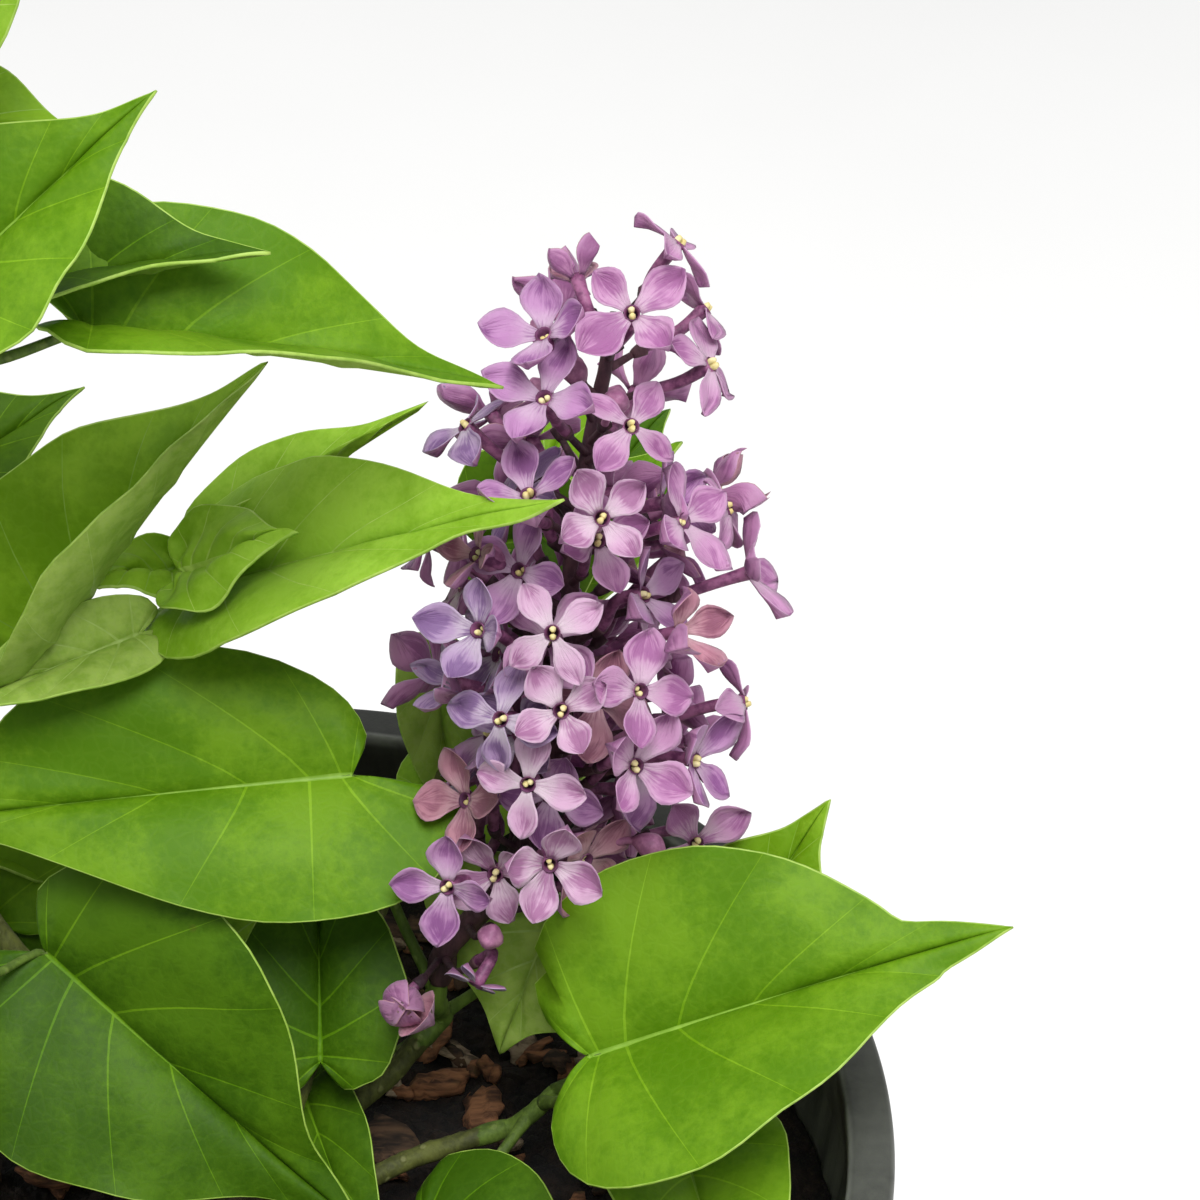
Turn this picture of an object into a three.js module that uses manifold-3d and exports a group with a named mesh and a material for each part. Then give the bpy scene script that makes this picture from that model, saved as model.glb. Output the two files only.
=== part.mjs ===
// A young lilac in flower, in its nursery pot.
// Millimetres, +Z up. The origin is the centre of the pot's flat underside, which stands on the ground.
import * as THREE from "three";
import { mergeVertices } from "three/addons/utils/BufferGeometryUtils.js";
import Module from "manifold-3d";

const wasm = await Module();
wasm.setup();

// ---------- driving dimensions: millimetres, angles in degrees ----------

const GAP = 0.3; // clearance between neighbouring solids

const POT = {
  height: 165,
  topRadius: 82.5,
  footRadius: 64,
  wall: 1.6,
  floor: 3,
  lip: 6, // width of the rim's flat top
  bandHeight: 15, // the upright band that stiffens the rim
  bandStep: 2.5, // how far that band stands out from the wall
  bevel: 1,
  facets: 48,
};

const SOIL = { top: 140, crown: 1.2, crownRadius: 0.6, flatRadius: 13 };

// Flakes of bark that lie on the soil.
const BARK = {
  chips: 26,
  length: [9, 19],
  width: [5, 9],
  thick: [3, 5],
  wear: [0.75, 0.6, 0.7], // the least that is left of a corner along each side
  tilt: [18, 12],
  lift: [0.6, 2.2], // how high a flake's middle lies over the soil
  clearOfTrunk: 12,
  clearOfWall: 2,
};

const GOLDEN_ANGLE = 137.5; // spreads flakes and florets evenly round a centre

const TRUNK = {
  footRadius: 4.4,
  topRadius: 3.5,
  flare: 3.4, // how much the root flare adds at ground level
  flarePower: 6, // how soon it dies away
  path: [[0, 0, 140.3], [0, 0, 146], [1, 1, 153], [2, 3, 161]],
  sides: 12,
  steps: 8,
};

// Boughs, shoots and the stems of flower heads. The lead keeps each one straight past a joint.
const LIMB = { sides: 6, steps: 5, lead: 3 };

const BLADE = {
  thick: 0.8,
  // Half the outline, from the notch round a lobe to the tip: along the midrib, and out from it,
  // as parts of the blade's length and width.
  outline: [[0, 0], [-0.06, 0.16], [-0.01, 0.38], [0.24, 0.5], [0.5, 0.39], [0.78, 0.11], [1, 0]],
  veinPower: 1.6, // bunches the side veins towards the notch
};

const STALK = { radii: [1.03, 0.81], sunk: 2.5, sides: 3, steps: 3, bend: 0.55, sag: 0.12 };

// The rule for leaves in crossed pairs. Each pair of values is at the shoot's foot and at its tip.
const PAIR = {
  first: 0.15, // how far up the shoot the lowest pair stands
  stalkLength: [17, 7],
  stalkRise: [25, 60],
  size: [1, 0.45],
  bladeRise: [0, 48],
  slim: 0.7, // width over length
  spread: { turn: 14, twist: 12, rise: 8, roll: 16 },
  sizeSpread: [0.9, 1.08],
  fold: [12, 30],
  droop: [10, 34],
};

const FLORET = {
  petal: 6.6, // from the throat to the petal's end
  bluntness: 18, // half the angle that a petal's end takes up
  notch: 1.3, // the narrowest place between two petals, which is also the mouth of the tube
  dome: 0.6,
  foot: 0.6,
  drop: 9, // how far below its mouth a floret's stalk leaves the stem
};

// How a flower head fills out along its stem. Heights are parts of the stem's length.
const HEAD = {
  bare: 0.02, // below this no floret's stalk starts
  lowest: 0.18,
  highest: 1.04,
  swell: [0.2, 0.7, 0.7], // the half wave that gives the head's outline: start, length and power
  lift: [5, 55], // how far the florets face upwards, at the foot and at the tip
  twist: 12,
  frontEdge: -0.15, // the cosine of the turn beyond which a head's placed florets end
  steps: 6,
};

const COLOUR = {
  pot: 0x2b2d2b,
  soil: 0x3d2a1c,
  trunk: 0x5a4a38,
  bough: 0x5f6030,
  leaf: 0x6d952c,
  flower: 0xb887b4,
};

// ---------- small helpers ----------

const radians = THREE.MathUtils.degToRad;
const mix = THREE.MathUtils.lerp;
const vector = (p) => new THREE.Vector3(...p);

/** Numbers from 0 to 1 that are the same on every run. */
function seeded(seed) {
  let state = seed;
  return () => {
    state = (Math.imul(state, 1664525) + 1013904223) >>> 0;
    return state / 2 ** 32;
  };
}

/** The direction with a compass turn (0 is +X, 90 is +Y) and a rise above level. */
function heading(turn, rise) {
  const level = Math.cos(radians(rise));
  return new THREE.Vector3(
    level * Math.cos(radians(turn)),
    level * Math.sin(radians(turn)),
    Math.sin(radians(rise)),
  );
}

/** A direction turned by an angle from one direction towards another at right angles to it. */
function aim(from, towards, angle) {
  const turned = from.clone().multiplyScalar(Math.cos(radians(angle)));
  return turned.addScaledVector(towards, Math.sin(radians(angle)));
}

/** A three.js geometry as a solid that can be joined and cut. */
function solid(geometry) {
  const bare = geometry.clone();
  for (const name of Object.keys(bare.attributes)) {
    if (name !== "position") bare.deleteAttribute(name);
  }
  const merged = mergeVertices(bare, 1e-4);
  return new wasm.Manifold(
    new wasm.Mesh({
      numProp: 3,
      vertProperties: Float32Array.from(merged.attributes.position.array),
      triVerts: Uint32Array.from(merged.index.array),
    }),
  );
}

/** A solid's main body, without loose scraps or the walls of a sealed hollow. */
function mainBody(body) {
  const bodies = body.simplify(0.01).decompose();
  return bodies.reduce((best, next) => (next.volume() > best.volume() ? next : best));
}

/** Joins solids into one body. */
function joined(solids) {
  return mainBody(solids.reduce((all, next) => all.add(next)));
}

/** A named mesh of a solid. */
function mesh(name, body, colour, roughness) {
  const { vertProperties, triVerts } = body.getMesh();
  const geometry = new THREE.BufferGeometry();
  geometry.setAttribute("position", new THREE.BufferAttribute(vertProperties, 3));
  geometry.setIndex(new THREE.BufferAttribute(triVerts, 1));
  geometry.computeVertexNormals();
  const material = new THREE.MeshStandardMaterial({ color: colour, roughness, metalness: 0 });
  const result = new THREE.Mesh(geometry, material);
  result.name = name;
  return result;
}

/** A geometry from a list of points and a list of triangles. */
function faceted(points, triangles) {
  const geometry = new THREE.BufferGeometry();
  const flat = points.flatMap((point) => point.toArray());
  geometry.setAttribute("position", new THREE.Float32BufferAttribute(flat, 3));
  geometry.setIndex(triangles.flat());
  return geometry;
}

/** A limb of changing radius along a smooth curve, with flat ends. */
function limb(curve, radiusAt, sides, steps) {
  const frames = curve.computeFrenetFrames(steps, false);
  const points = [];
  const triangles = [];
  for (let i = 0; i <= steps; i++) {
    const centre = curve.getPointAt(i / steps);
    const radius = radiusAt(i / steps);
    for (let j = 0; j < sides; j++) {
      const angle = (j / sides) * 2 * Math.PI;
      points.push(
        centre
          .clone()
          .addScaledVector(frames.normals[i], radius * Math.cos(angle))
          .addScaledVector(frames.binormals[i], radius * Math.sin(angle)),
      );
    }
  }
  for (let i = 0; i < steps; i++) {
    for (let j = 0; j < sides; j++) {
      const a = i * sides + j;
      const b = i * sides + ((j + 1) % sides);
      triangles.push([a, b, b + sides], [a, b + sides, a + sides]);
    }
  }
  const last = steps * sides;
  for (let j = 1; j < sides - 1; j++) {
    triangles.push([0, j + 1, j], [last, last + j, last + j + 1]);
  }
  return faceted(points, triangles);
}

const curveThrough = (points) => new THREE.CatmullRomCurve3(points.map(vector));
const taper = (from, to) => (u) => mix(from, to, u);

// ---------- pot and soil ----------

const neckRadius = POT.topRadius - POT.bandStep;
const bandFoot = POT.height - POT.bandHeight;
const lipRadius = POT.topRadius - POT.lip;

/** The radius of the pot's inner wall at a height. */
function innerRadius(z) {
  return mix(POT.footRadius, neckRadius, z / bandFoot) - POT.wall;
}

function makePot() {
  const { height, topRadius, footRadius, floor, bevel, wall } = POT;
  const profile = [
    [0, 0],
    [footRadius - bevel, 0],
    [footRadius, bevel],
    [neckRadius, bandFoot],
    [topRadius, bandFoot],
    [topRadius, height - bevel],
    [topRadius - bevel, height],
    [lipRadius, height],
    [lipRadius, height - 2 * wall],
    [innerRadius(bandFoot), bandFoot],
    [innerRadius(floor), floor],
    [0, floor],
  ];
  const points = profile.map(([r, z]) => new THREE.Vector2(r, z));
  const geometry = new THREE.LatheGeometry(points, POT.facets).rotateX(Math.PI / 2);
  return mesh("pot", solid(geometry), COLOUR.pot, 0.55);
}

/** One flake of bark: a block with its corners knocked about. */
function barkChip(random, length) {
  const size = [length, mix(...BARK.width, random()), mix(...BARK.thick, random())];
  const chip = mergeVertices(new THREE.BoxGeometry(...size).deleteAttribute("normal").deleteAttribute("uv"));
  const position = chip.attributes.position;
  for (let i = 0; i < position.count; i++) {
    BARK.wear.forEach((least, axis) => {
      position.setComponent(i, axis, position.getComponent(i, axis) * mix(least, 1, random()));
    });
  }
  const [pitch, yaw] = BARK.tilt.map((most) => radians(mix(-most, most, random())));
  return chip.rotateX(pitch).rotateY(yaw);
}

function makeSoil() {
  const low = POT.floor + GAP;
  const reach = (z) => innerRadius(z) - GAP;
  const profile = [
    [0, low],
    [reach(low), low],
    [reach(SOIL.top - SOIL.crown), SOIL.top - SOIL.crown],
    [SOIL.crownRadius * reach(SOIL.top), SOIL.top + SOIL.crown],
    [SOIL.flatRadius, SOIL.top],
    [0, SOIL.top],
  ];
  const points = profile.map(([r, z]) => new THREE.Vector2(r, z));
  const pieces = [solid(new THREE.LatheGeometry(points, POT.facets).rotateX(Math.PI / 2))];
  const random = seeded(11);
  const wallSide = reach(SOIL.top) - BARK.clearOfWall;
  for (let k = 0; k < BARK.chips; k++) {
    const length = mix(...BARK.length, random());
    const near = BARK.clearOfTrunk + length / 2;
    const far = wallSide - length / 2;
    const distance = mix(near, far, Math.sqrt((k + 0.5) / BARK.chips));
    const chip = barkChip(random, length).rotateZ(random() * Math.PI);
    const place = heading(k * GOLDEN_ANGLE, 0).multiplyScalar(distance);
    pieces.push(solid(chip.translate(place.x, place.y, SOIL.top + mix(...BARK.lift, random()))));
  }
  return mesh("soil", joined(pieces), COLOUR.soil, 0.95);
}

// ---------- trunk and boughs ----------

const trunkCurve = curveThrough(TRUNK.path);

/** The radius of the trunk from its flare at ground level (0) to the fork (1). */
function trunkRadius(u) {
  return mix(TRUNK.footRadius, TRUNK.topRadius, u) + TRUNK.flare * (1 - u) ** TRUNK.flarePower;
}

/** The trunk, or the space that it needs when it is grown by a clearance. */
function trunkSolid(clearance) {
  return solid(limb(trunkCurve, (u) => trunkRadius(u) + clearance, TRUNK.sides, TRUNK.steps));
}

function makeTrunk() {
  return mesh("trunk", trunkSolid(0), COLOUR.trunk, 0.9);
}

const trunkSpace = trunkSolid(GAP);

// Each bough runs from inside the trunk, through its bend, to where its leaves begin.
const BOUGHS = {
  left: {
    radii: [2.4, 1.9],
    path: [[0, 1, 153], [-14, 10, 161], [-36, 22, 184], [-40, 24, 205], [-39, 18, 226]],
  },
  middle: { radii: [2.2, 1.7], path: [[1, 2, 158], [-6, 12, 166], [-9, 24, 182], [-7, 33, 200]] },
  flower: { radii: [2.4, 2.1], path: [[1, 1, 152], [9, 9, 155], [17, 15, 158], [22, 18, 163]] },
  right: { radii: [2.1, 1.9], path: [[0.5, 0.5, 148], [9, 2, 148.5], [20, 8, 149.5], [30, 11, 151]] },
  front: { radii: [2.3, 1.8], path: [[0, 0, 150], [-12, -8, 152], [-31, -17, 162], [-42, -12, 190]] },
  back: { radii: [2.2, 1.8], path: [[3, 2, 158], [10, 22, 166], [21, 42, 180], [29, 57, 194]] },
  far_left: { radii: [2.2, 1.7], path: [[0, 0, 147], [-16, 14, 152], [-36, 30, 168], [-46, 38, 190]] },
  low_back: { radii: [2.0, 1.6], path: [[1, 1, 146], [2, 16, 148.5], [-8, 34, 152], [-14, 46, 157]] },
  near: { radii: [2.0, 1.6], path: [[0, 0, 149], [4, -12, 152], [0, -26, 161], [-8, -36, 169]] },
  near_right: { radii: [2.0, 1.6], path: [[0, 0, 146], [15, -11, 149], [30, -26, 156], [37, -38, 165]] },
};

function boughCurve(name) {
  return curveThrough(BOUGHS[name].path);
}

function makeBough(name) {
  const { radii } = BOUGHS[name];
  const whole = solid(limb(boughCurve(name), taper(...radii), LIMB.sides, LIMB.steps));
  return mesh(`bough_${name}`, mainBody(whole.subtract(trunkSpace)), COLOUR.bough, 0.8);
}

/** A curve that goes on from a limb's tip, one clearance further along, in the same direction. */
function onwards(curve, path) {
  const end = curve.getPointAt(1);
  const ahead = curve.getTangentAt(1);
  const beyond = (distance) => end.clone().addScaledVector(ahead, distance).toArray();
  return curveThrough([beyond(GAP), beyond(GAP + LIMB.lead), ...path]);
}

// ---------- leaves ----------

/** The axes of a blade: along its chord, out to its left, and up from its face. */
function bladeAxes(base, tip, roll) {
  const along = tip.clone().sub(base).normalize();
  const left = new THREE.Vector3(-along.y, along.x, 0).normalize();
  const up = along.clone().cross(left);
  const turned = aim(left, up, roll);
  return { along, left: turned, up: along.clone().cross(turned) };
}

/** A heart-shaped blade from the notch to the tip, folded along its midrib and bent along its length. */
function bladeSolid({ base, tip, width, roll, fold, droop, skew }) {
  const { along, left, up } = bladeAxes(base, tip, roll);
  const bend = radians(Math.max(droop, 0.1));
  const length = (base.distanceTo(tip) * bend) / 2 / Math.sin(bend / 2);
  const point = (x, y, depth) => {
    const slope = bend * (0.5 - x / length);
    const forward = ((Math.sin(bend / 2) - Math.sin(slope)) * length) / bend;
    const rise = ((Math.cos(slope) - Math.cos(bend / 2)) * length) / bend;
    const lift = Math.abs(y) * Math.sin(radians(fold)) - depth;
    return base
      .clone()
      .addScaledVector(along, forward - lift * Math.sin(slope))
      .addScaledVector(up, rise + lift * Math.cos(slope))
      .addScaledVector(left, y * Math.cos(radians(fold)));
  };
  const last = BLADE.outline.length - 1;
  const points = [0, BLADE.thick].flatMap((depth) =>
    BLADE.outline.flatMap(([x, y], i) =>
      [-1, 0, 1].map((side) =>
        side === 0
          ? point(length * (i / last) ** BLADE.veinPower, 0, depth)
          : point(x * length + skew * side * y * width, side * y * width, depth),
      ),
    ),
  );
  // The face is layer 0 and the underside layer 1. At both ends the halves close on the midrib.
  const at = (layer, i, side) => 3 * (layer * (last + 1) + i) + (i === 0 || i === last ? 1 : side + 1);
  const triangles = [];
  const quad = (a, b, c, d) => {
    if (b !== c) triangles.push([a, b, c]);
    if (d !== a) triangles.push([a, c, d]);
  };
  for (let i = 0; i < last; i++) {
    for (const side of [1, -1]) {
      const [near, far] = side === 1 ? [i, i + 1] : [i + 1, i];
      quad(at(0, near, 0), at(0, far, 0), at(0, far, side), at(0, near, side));
      quad(at(1, far, 0), at(1, near, 0), at(1, near, side), at(1, far, side));
      quad(at(0, near, side), at(0, far, side), at(1, far, side), at(1, near, side));
    }
  }
  return solid(faceted(points, triangles));
}

/** The stalk from the shoot to the notch, arriving along the blade and sunk into its midrib. */
function stalkSolid(start, { base, tip, roll }) {
  const { along, up } = bladeAxes(base, tip, roll);
  const notch = base.clone().addScaledVector(up, -BLADE.thick / 2);
  const middle = start.clone().lerp(notch, STALK.bend);
  middle.z -= STALK.sag * start.distanceTo(notch);
  const end = notch.clone().addScaledVector(along, STALK.sunk);
  const curve = new THREE.CatmullRomCurve3([start, middle, notch, end]);
  return solid(limb(curve, taper(...STALK.radii), STALK.sides, STALK.steps));
}

// A leaf with a place of its own: where its stalk leaves the shoot (0 foot, 1 tip), the notch, the tip,
// the width across, the roll about the midrib, the fold along it, the droop of the tip, and how far
// the left half is pushed forward of the right one.
const leaf = (at, base, tip, width, roll, fold = 18, droop = 15, skew = 0) =>
  ({ at, base, tip, width, roll, fold, droop, skew });

// Each shoot goes on from its bough. `leaves` have their own places; `pairs` grow by the seeded rule:
// how many pairs, the turn of the first one, the length of the largest blade, and the leaves left out
// because they would touch a neighbour.
const SHOOTS = {
  left: {
    radii: [1.8, 1.1],
    path: [[-38, 14, 250], [-37, 11, 280], [-36, 8, 305], [-36, 6, 318]],
    leaves: [
      leaf(0.55, [-12, 15, 277], [34, 22, 264], 31, 8, 38, 6),
      leaf(0.6, [-24, 20, 277], [9, 18, 285], 27, 8, 38, 10),
      leaf(0.68, [-26, 4, 287], [-1, 13, 308], 26, 35, 20, 10),
      leaf(0.85, [-30, 16, 312], [-8, 24, 330], 26, 20, 25, 10),
      leaf(1, [-34, 4, 326], [-6, -4, 344], 22, 20, 30, 10),
      leaf(0.12, [-41, 45, 231], [-20, 55, 241], 20, 20, 20, 10),
    ],
    pairs: { seed: 21, count: 6, turn: 150, length: 46, sector: [190, 80], until: 1, without: [0, 1] },
  },
  middle: {
    radii: [1.6, 1.1],
    path: [[-7, 36, 211], [-7, 38, 222]],
    leaves: [
      leaf(0.9, [-5, 34, 225], [41, 14, 254], 26, 25, 18, 8),
      leaf(0.9, [-4, 41, 226], [24, 45, 246], 15, 5, 30, 8),
      leaf(0.6, [-24, 30, 218], [6, 32, 261], 35, 25, 38, 8),
      leaf(0.8, [-12, 29, 222], [-38, 14, 220], 13, -30, 30, 8),
      leaf(1, [-8, 38, 225], [-7, 33, 235], 9, 40, 30, 8),
      leaf(1, [-6, 39, 225], [1, 37, 234], 9, 10, 30, 8),
    ],
  },
  flower: {
    radii: [2, 1.7],
    path: [[23.5, 17, 170], [24.5, 17, 176]],
    leaves: [
      leaf(0.7, [14, 22, 205], [-46, 17, 201], 37, -42, 12, 10, -0.55),
      leaf(0.2, [35, 19, 162], [38, 25, 183], 18, 30),
      leaf(0.5, [9, 8, 168], [8, 34, 188], 24, 0),
    ],
  },
  right: {
    radii: [1.8, 1.3],
    path: [[36, 12, 154], [39, 14, 156]],
    leaves: [
      leaf(0.8, [44, -1, 180], [95, 0, 200], 42, 42, 12, 12, 0.1),
      leaf(1, [62, 17, 178], [74, 23, 200], 22, 30),
      leaf(0.9, [55, 0, 164], [62, -40, 165], 26, 0),
      leaf(0.6, [22, -5, 152], [46, -28, 158], 26, 10),
      leaf(0.75, [50, 23, 157], [62, 41, 160], 15, 0, 20, 12),
    ],
  },
  front: {
    radii: [1.8, 1.4],
    path: [[-44, -8, 206], [-52, -14, 222]],
    leaves: [leaf(0.3, [-25, 10, 186], [13, -8, 160], 42, 45, 12, 10)],
    pairs: { seed: 31, count: 4, turn: 200, length: 46, sector: [215, 90], until: 0.5, without: [] },
  },
  back: {
    radii: [1.7, 1.3],
    path: [[31, 61, 203]],
    leaves: [
      leaf(0.2, [27, 53, 203], [31, 38, 181], 21, 30),
      leaf(0.9, [29, 60, 212], [50, 62, 214], 28, 60),
    ],
    pairs: { seed: 41, count: 4, turn: 60, length: 38, sector: [80, 50], until: 0.8, without: [] },
  },
  far_left: {
    radii: [1.8, 1.4],
    path: [[-52, 44, 206], [-56, 48, 222]],
    pairs: { seed: 51, count: 5, turn: 120, length: 50, sector: [140, 110], until: 0.6, without: [] },
  },
  low_back: {
    radii: [1.6, 1.0],
    path: [[-17, 54, 163], [-18, 58, 168]],
    pairs: { seed: 81, count: 4, turn: 110, length: 36, sector: [170, 85], until: 0.6, without: [] },
  },
  near: {
    radii: [1.6, 1.0],
    path: [[-12, -44, 174], [-14, -50, 182]],
    pairs: { seed: 61, count: 5, turn: 215, length: 46, sector: [260, 95], until: 0.9, without: [] },
  },
  near_right: {
    radii: [1.6, 1.0],
    path: [[43, -46, 171], [46, -52, 177]],
    pairs: { seed: 91, count: 5, turn: 330, length: 42, sector: [290, 95], until: 0.9, without: [] },
  },
};

function shootCurve(name) {
  return onwards(boughCurve(name), SHOOTS[name].path);
}

/** Leaves in crossed pairs: wide and level low on the shoot, small and steep at its tip. */
function pairedLeaves(curve, { seed, count, turn, length, sector, until, without }) {
  const random = seeded(seed);
  const spread = (most) => mix(-most, most, random());
  const leaves = [];
  for (let k = 0; k < 2 * count; k++) {
    const pair = Math.floor(k / 2);
    const at = mix(PAIR.first, until, pair / (count - 1));
    const facing = turn + 90 * pair + 180 * (k % 2) + spread(PAIR.spread.turn);
    const stalk = heading(facing, mix(...PAIR.stalkRise, at)).multiplyScalar(mix(...PAIR.stalkLength, at));
    const size = length * mix(...PAIR.size, at) * mix(...PAIR.sizeSpread, random());
    const base = curve.getPointAt(at).add(stalk);
    const bladeTurn = facing + spread(PAIR.spread.twist);
    const bladeRise = mix(...PAIR.bladeRise, at) + spread(PAIR.spread.rise);
    const tip = heading(bladeTurn, bladeRise).multiplyScalar(size).add(base);
    const width = PAIR.slim * size;
    const roll = spread(PAIR.spread.roll);
    const fold = mix(...PAIR.fold, random());
    const droop = mix(...PAIR.droop, random());
    const [middle, reach] = sector;
    const inside = Math.cos(radians(facing - middle)) > Math.cos(radians(reach));
    if (inside && !without.includes(k)) leaves.push({ at, base, tip, width, roll, fold, droop, skew: 0 });
  }
  return leaves;
}

/** All leaves of a shoot, the placed ones first. */
function leavesOf(name) {
  const { leaves = [], pairs } = SHOOTS[name];
  const placed = leaves.map((one) => ({ ...one, base: vector(one.base), tip: vector(one.tip) }));
  return pairs ? placed.concat(pairedLeaves(shootCurve(name), pairs)) : placed;
}

function makeShoot(name) {
  const curve = shootCurve(name);
  const pieces = [solid(limb(curve, taper(...SHOOTS[name].radii), LIMB.sides, LIMB.steps))];
  for (const one of leavesOf(name)) {
    pieces.push(stalkSolid(curve.getPointAt(one.at), one), bladeSolid(one));
  }
  return mesh(`leaves_${name}`, joined(pieces), COLOUR.leaf, 0.5);
}

// ---------- flower heads ----------

// Florets on the side that faces the front: height up the head, turn about it (0 front, 90 right), spin,
// and how far one on a longer stalk stands out of the rest.
const FRONT_FLORETS = [
  [104, 40, 10], [100, -52, 30], [96, 2, 5], [91, -46, 50], [90, 65, 20], [84, -33, 15], [83, 10, 40],
  [77, -76, 0], [72, 42, 25], [73, -27, 60], [72, 4, 30], [71, 88, 10, 3], [62, 85, 40, 6], [64, -62, 30],
  [57, -36, 20], [58, -7, 45], [57, 44, 0], [51, 26, 70], [49, -3, 35], [47, -25, 10], [46, 82, 55, 3],
  [46, -75, 20], [42, 56, 20], [43, 25, 45], [40, -14, 0], [31, 86, 30, 3], [31, 0, 75], [22, -36, 15],
  [5, -40, 50],
];

const HEADS = {
  flower: {
    path: [[33, 19, 190], [40, 24, 212], [42, 33, 236], [46, 41, 256], [49, 46, 270]],
    radii: [1.6, 0.8],
    mouths: 19.5,
    front: FRONT_FLORETS,
    seed: 71,
    florets: 28,
  },
  front: {
    path: [[-64, -24, 240], [-73, -30, 264], [-79, -34, 288]],
    radii: [1.5, 0.8],
    mouths: 16,
    front: [],
    seed: 72,
    florets: 26,
  },
  far_left: {
    path: [[-64, 58, 240], [-72, 66, 266], [-77, 71, 290]],
    radii: [1.5, 0.8],
    mouths: 17,
    front: [],
    seed: 73,
    florets: 26,
  },
};

function headCurve(name) {
  return onwards(shootCurve(name), HEADS[name].path);
}

/** One floret: four blunt petals in a cross, on a tube that narrows to its foot, as one closed shell. */
function floretSolid({ mouth, foot, facing, spin }) {
  const across = new THREE.Vector3(0.1, 0, 1).cross(facing).normalize();
  const upright = facing.clone().cross(across);
  const point = (centre, angle, out) =>
    centre
      .clone()
      .addScaledVector(across, out * Math.cos(radians(angle)))
      .addScaledVector(upright, out * Math.sin(radians(angle)));
  const points = [mouth.clone().addScaledVector(facing, FLORET.dome)];
  for (let petal = 0; petal < 4; petal++) {
    const middle = spin + 90 * petal;
    points.push(
      point(mouth, middle - 45, FLORET.notch),
      point(mouth, middle - FLORET.bluntness, FLORET.petal),
      point(mouth, middle + FLORET.bluntness, FLORET.petal),
    );
  }
  for (let petal = 0; petal < 4; petal++) points.push(point(foot, spin + 90 * petal - 45, FLORET.foot));
  const [throat, rim, base] = [0, 1, 13];
  const triangles = [[base, base + 2, base + 1], [base, base + 3, base + 2]];
  for (let petal = 0; petal < 4; petal++) {
    const following = (petal + 1) % 4;
    const [notch, low, high] = [0, 1, 2].map((k) => rim + 3 * petal + k);
    const next = rim + 3 * following;
    triangles.push([throat, notch, low], [throat, low, high], [throat, high, next]);
    triangles.push([notch, high, low], [notch, next, high]);
    triangles.push([notch, base + petal, base + following], [notch, base + following, next]);
  }
  return solid(faceted(points, triangles));
}

/** Where each floret of a head opens, where its stalk starts, and which way it faces. */
function floretsOf(name) {
  const { front, seed, florets, mouths } = HEADS[name];
  const curve = headCurve(name);
  const length = curve.getLength();
  const random = seeded(seed);
  const places = [...front];
  for (let k = 0; k < florets; k++) {
    const height = mix(HEAD.lowest, HEAD.highest, (k + 0.5) / florets) * length;
    const turn = k * GOLDEN_ANGLE + mix(-HEAD.twist, HEAD.twist, random());
    const spin = 90 * random();
    const taken = front.length > 0 && Math.cos(radians(turn)) > HEAD.frontEdge;
    if (!taken) places.push([height, turn, spin]);
  }
  return places.map(([height, turn, spin, extra = 0]) => {
    const u = height / length;
    const axis = curve.getTangentAt(Math.min(u, 1));
    const centre = curve.getPointAt(Math.min(u, 1)).addScaledVector(axis, Math.max(height - length, 0));
    const forward = new THREE.Vector3(0, -1, 0).addScaledVector(axis, axis.y).normalize();
    const out = aim(forward, axis.clone().cross(forward), turn);
    const [start, wave, power] = HEAD.swell;
    const reach = extra + mouths * Math.sin(Math.PI * (start + wave * u)) ** power;
    const lift = mix(...HEAD.lift, Math.min(u, 1) ** 2);
    return {
      mouth: centre.addScaledVector(out, reach),
      foot: curve.getPointAt(Math.max(u - FLORET.drop / length, HEAD.bare)),
      facing: aim(out, axis, lift),
      spin,
    };
  });
}

function makeHead(name) {
  const stem = limb(headCurve(name), taper(...HEADS[name].radii), LIMB.sides, HEAD.steps);
  const body = joined([solid(stem), ...floretsOf(name).map(floretSolid)]);
  return mesh(`flowers_${name}`, body, COLOUR.flower, 0.6);
}

// ---------- the whole plant ----------

const lilac = new THREE.Group();
lilac.add(makePot(), makeSoil(), makeTrunk());
for (const name of Object.keys(BOUGHS)) lilac.add(makeBough(name));
for (const name of Object.keys(SHOOTS)) lilac.add(makeShoot(name));
for (const name of Object.keys(HEADS)) lilac.add(makeHead(name));

export default lilac;
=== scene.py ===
# %% [markdown]
# # A young lilac in flower, in its nursery pot
#
# The imported solids already hold every limb and flower head and nearly every leaf at its true place and
# size. This notebook grows the same plant again by the same rules, only finer: heart-shaped blades with
# their veins, four-petalled florets with a throat and anthers, bark with its pores, and a pot with a
# dusty lip. Each new piece then takes the place of the plain solid it was grown from.
#
# The first cell loads the solids.

# %% Load the imported solids
import math

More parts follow.
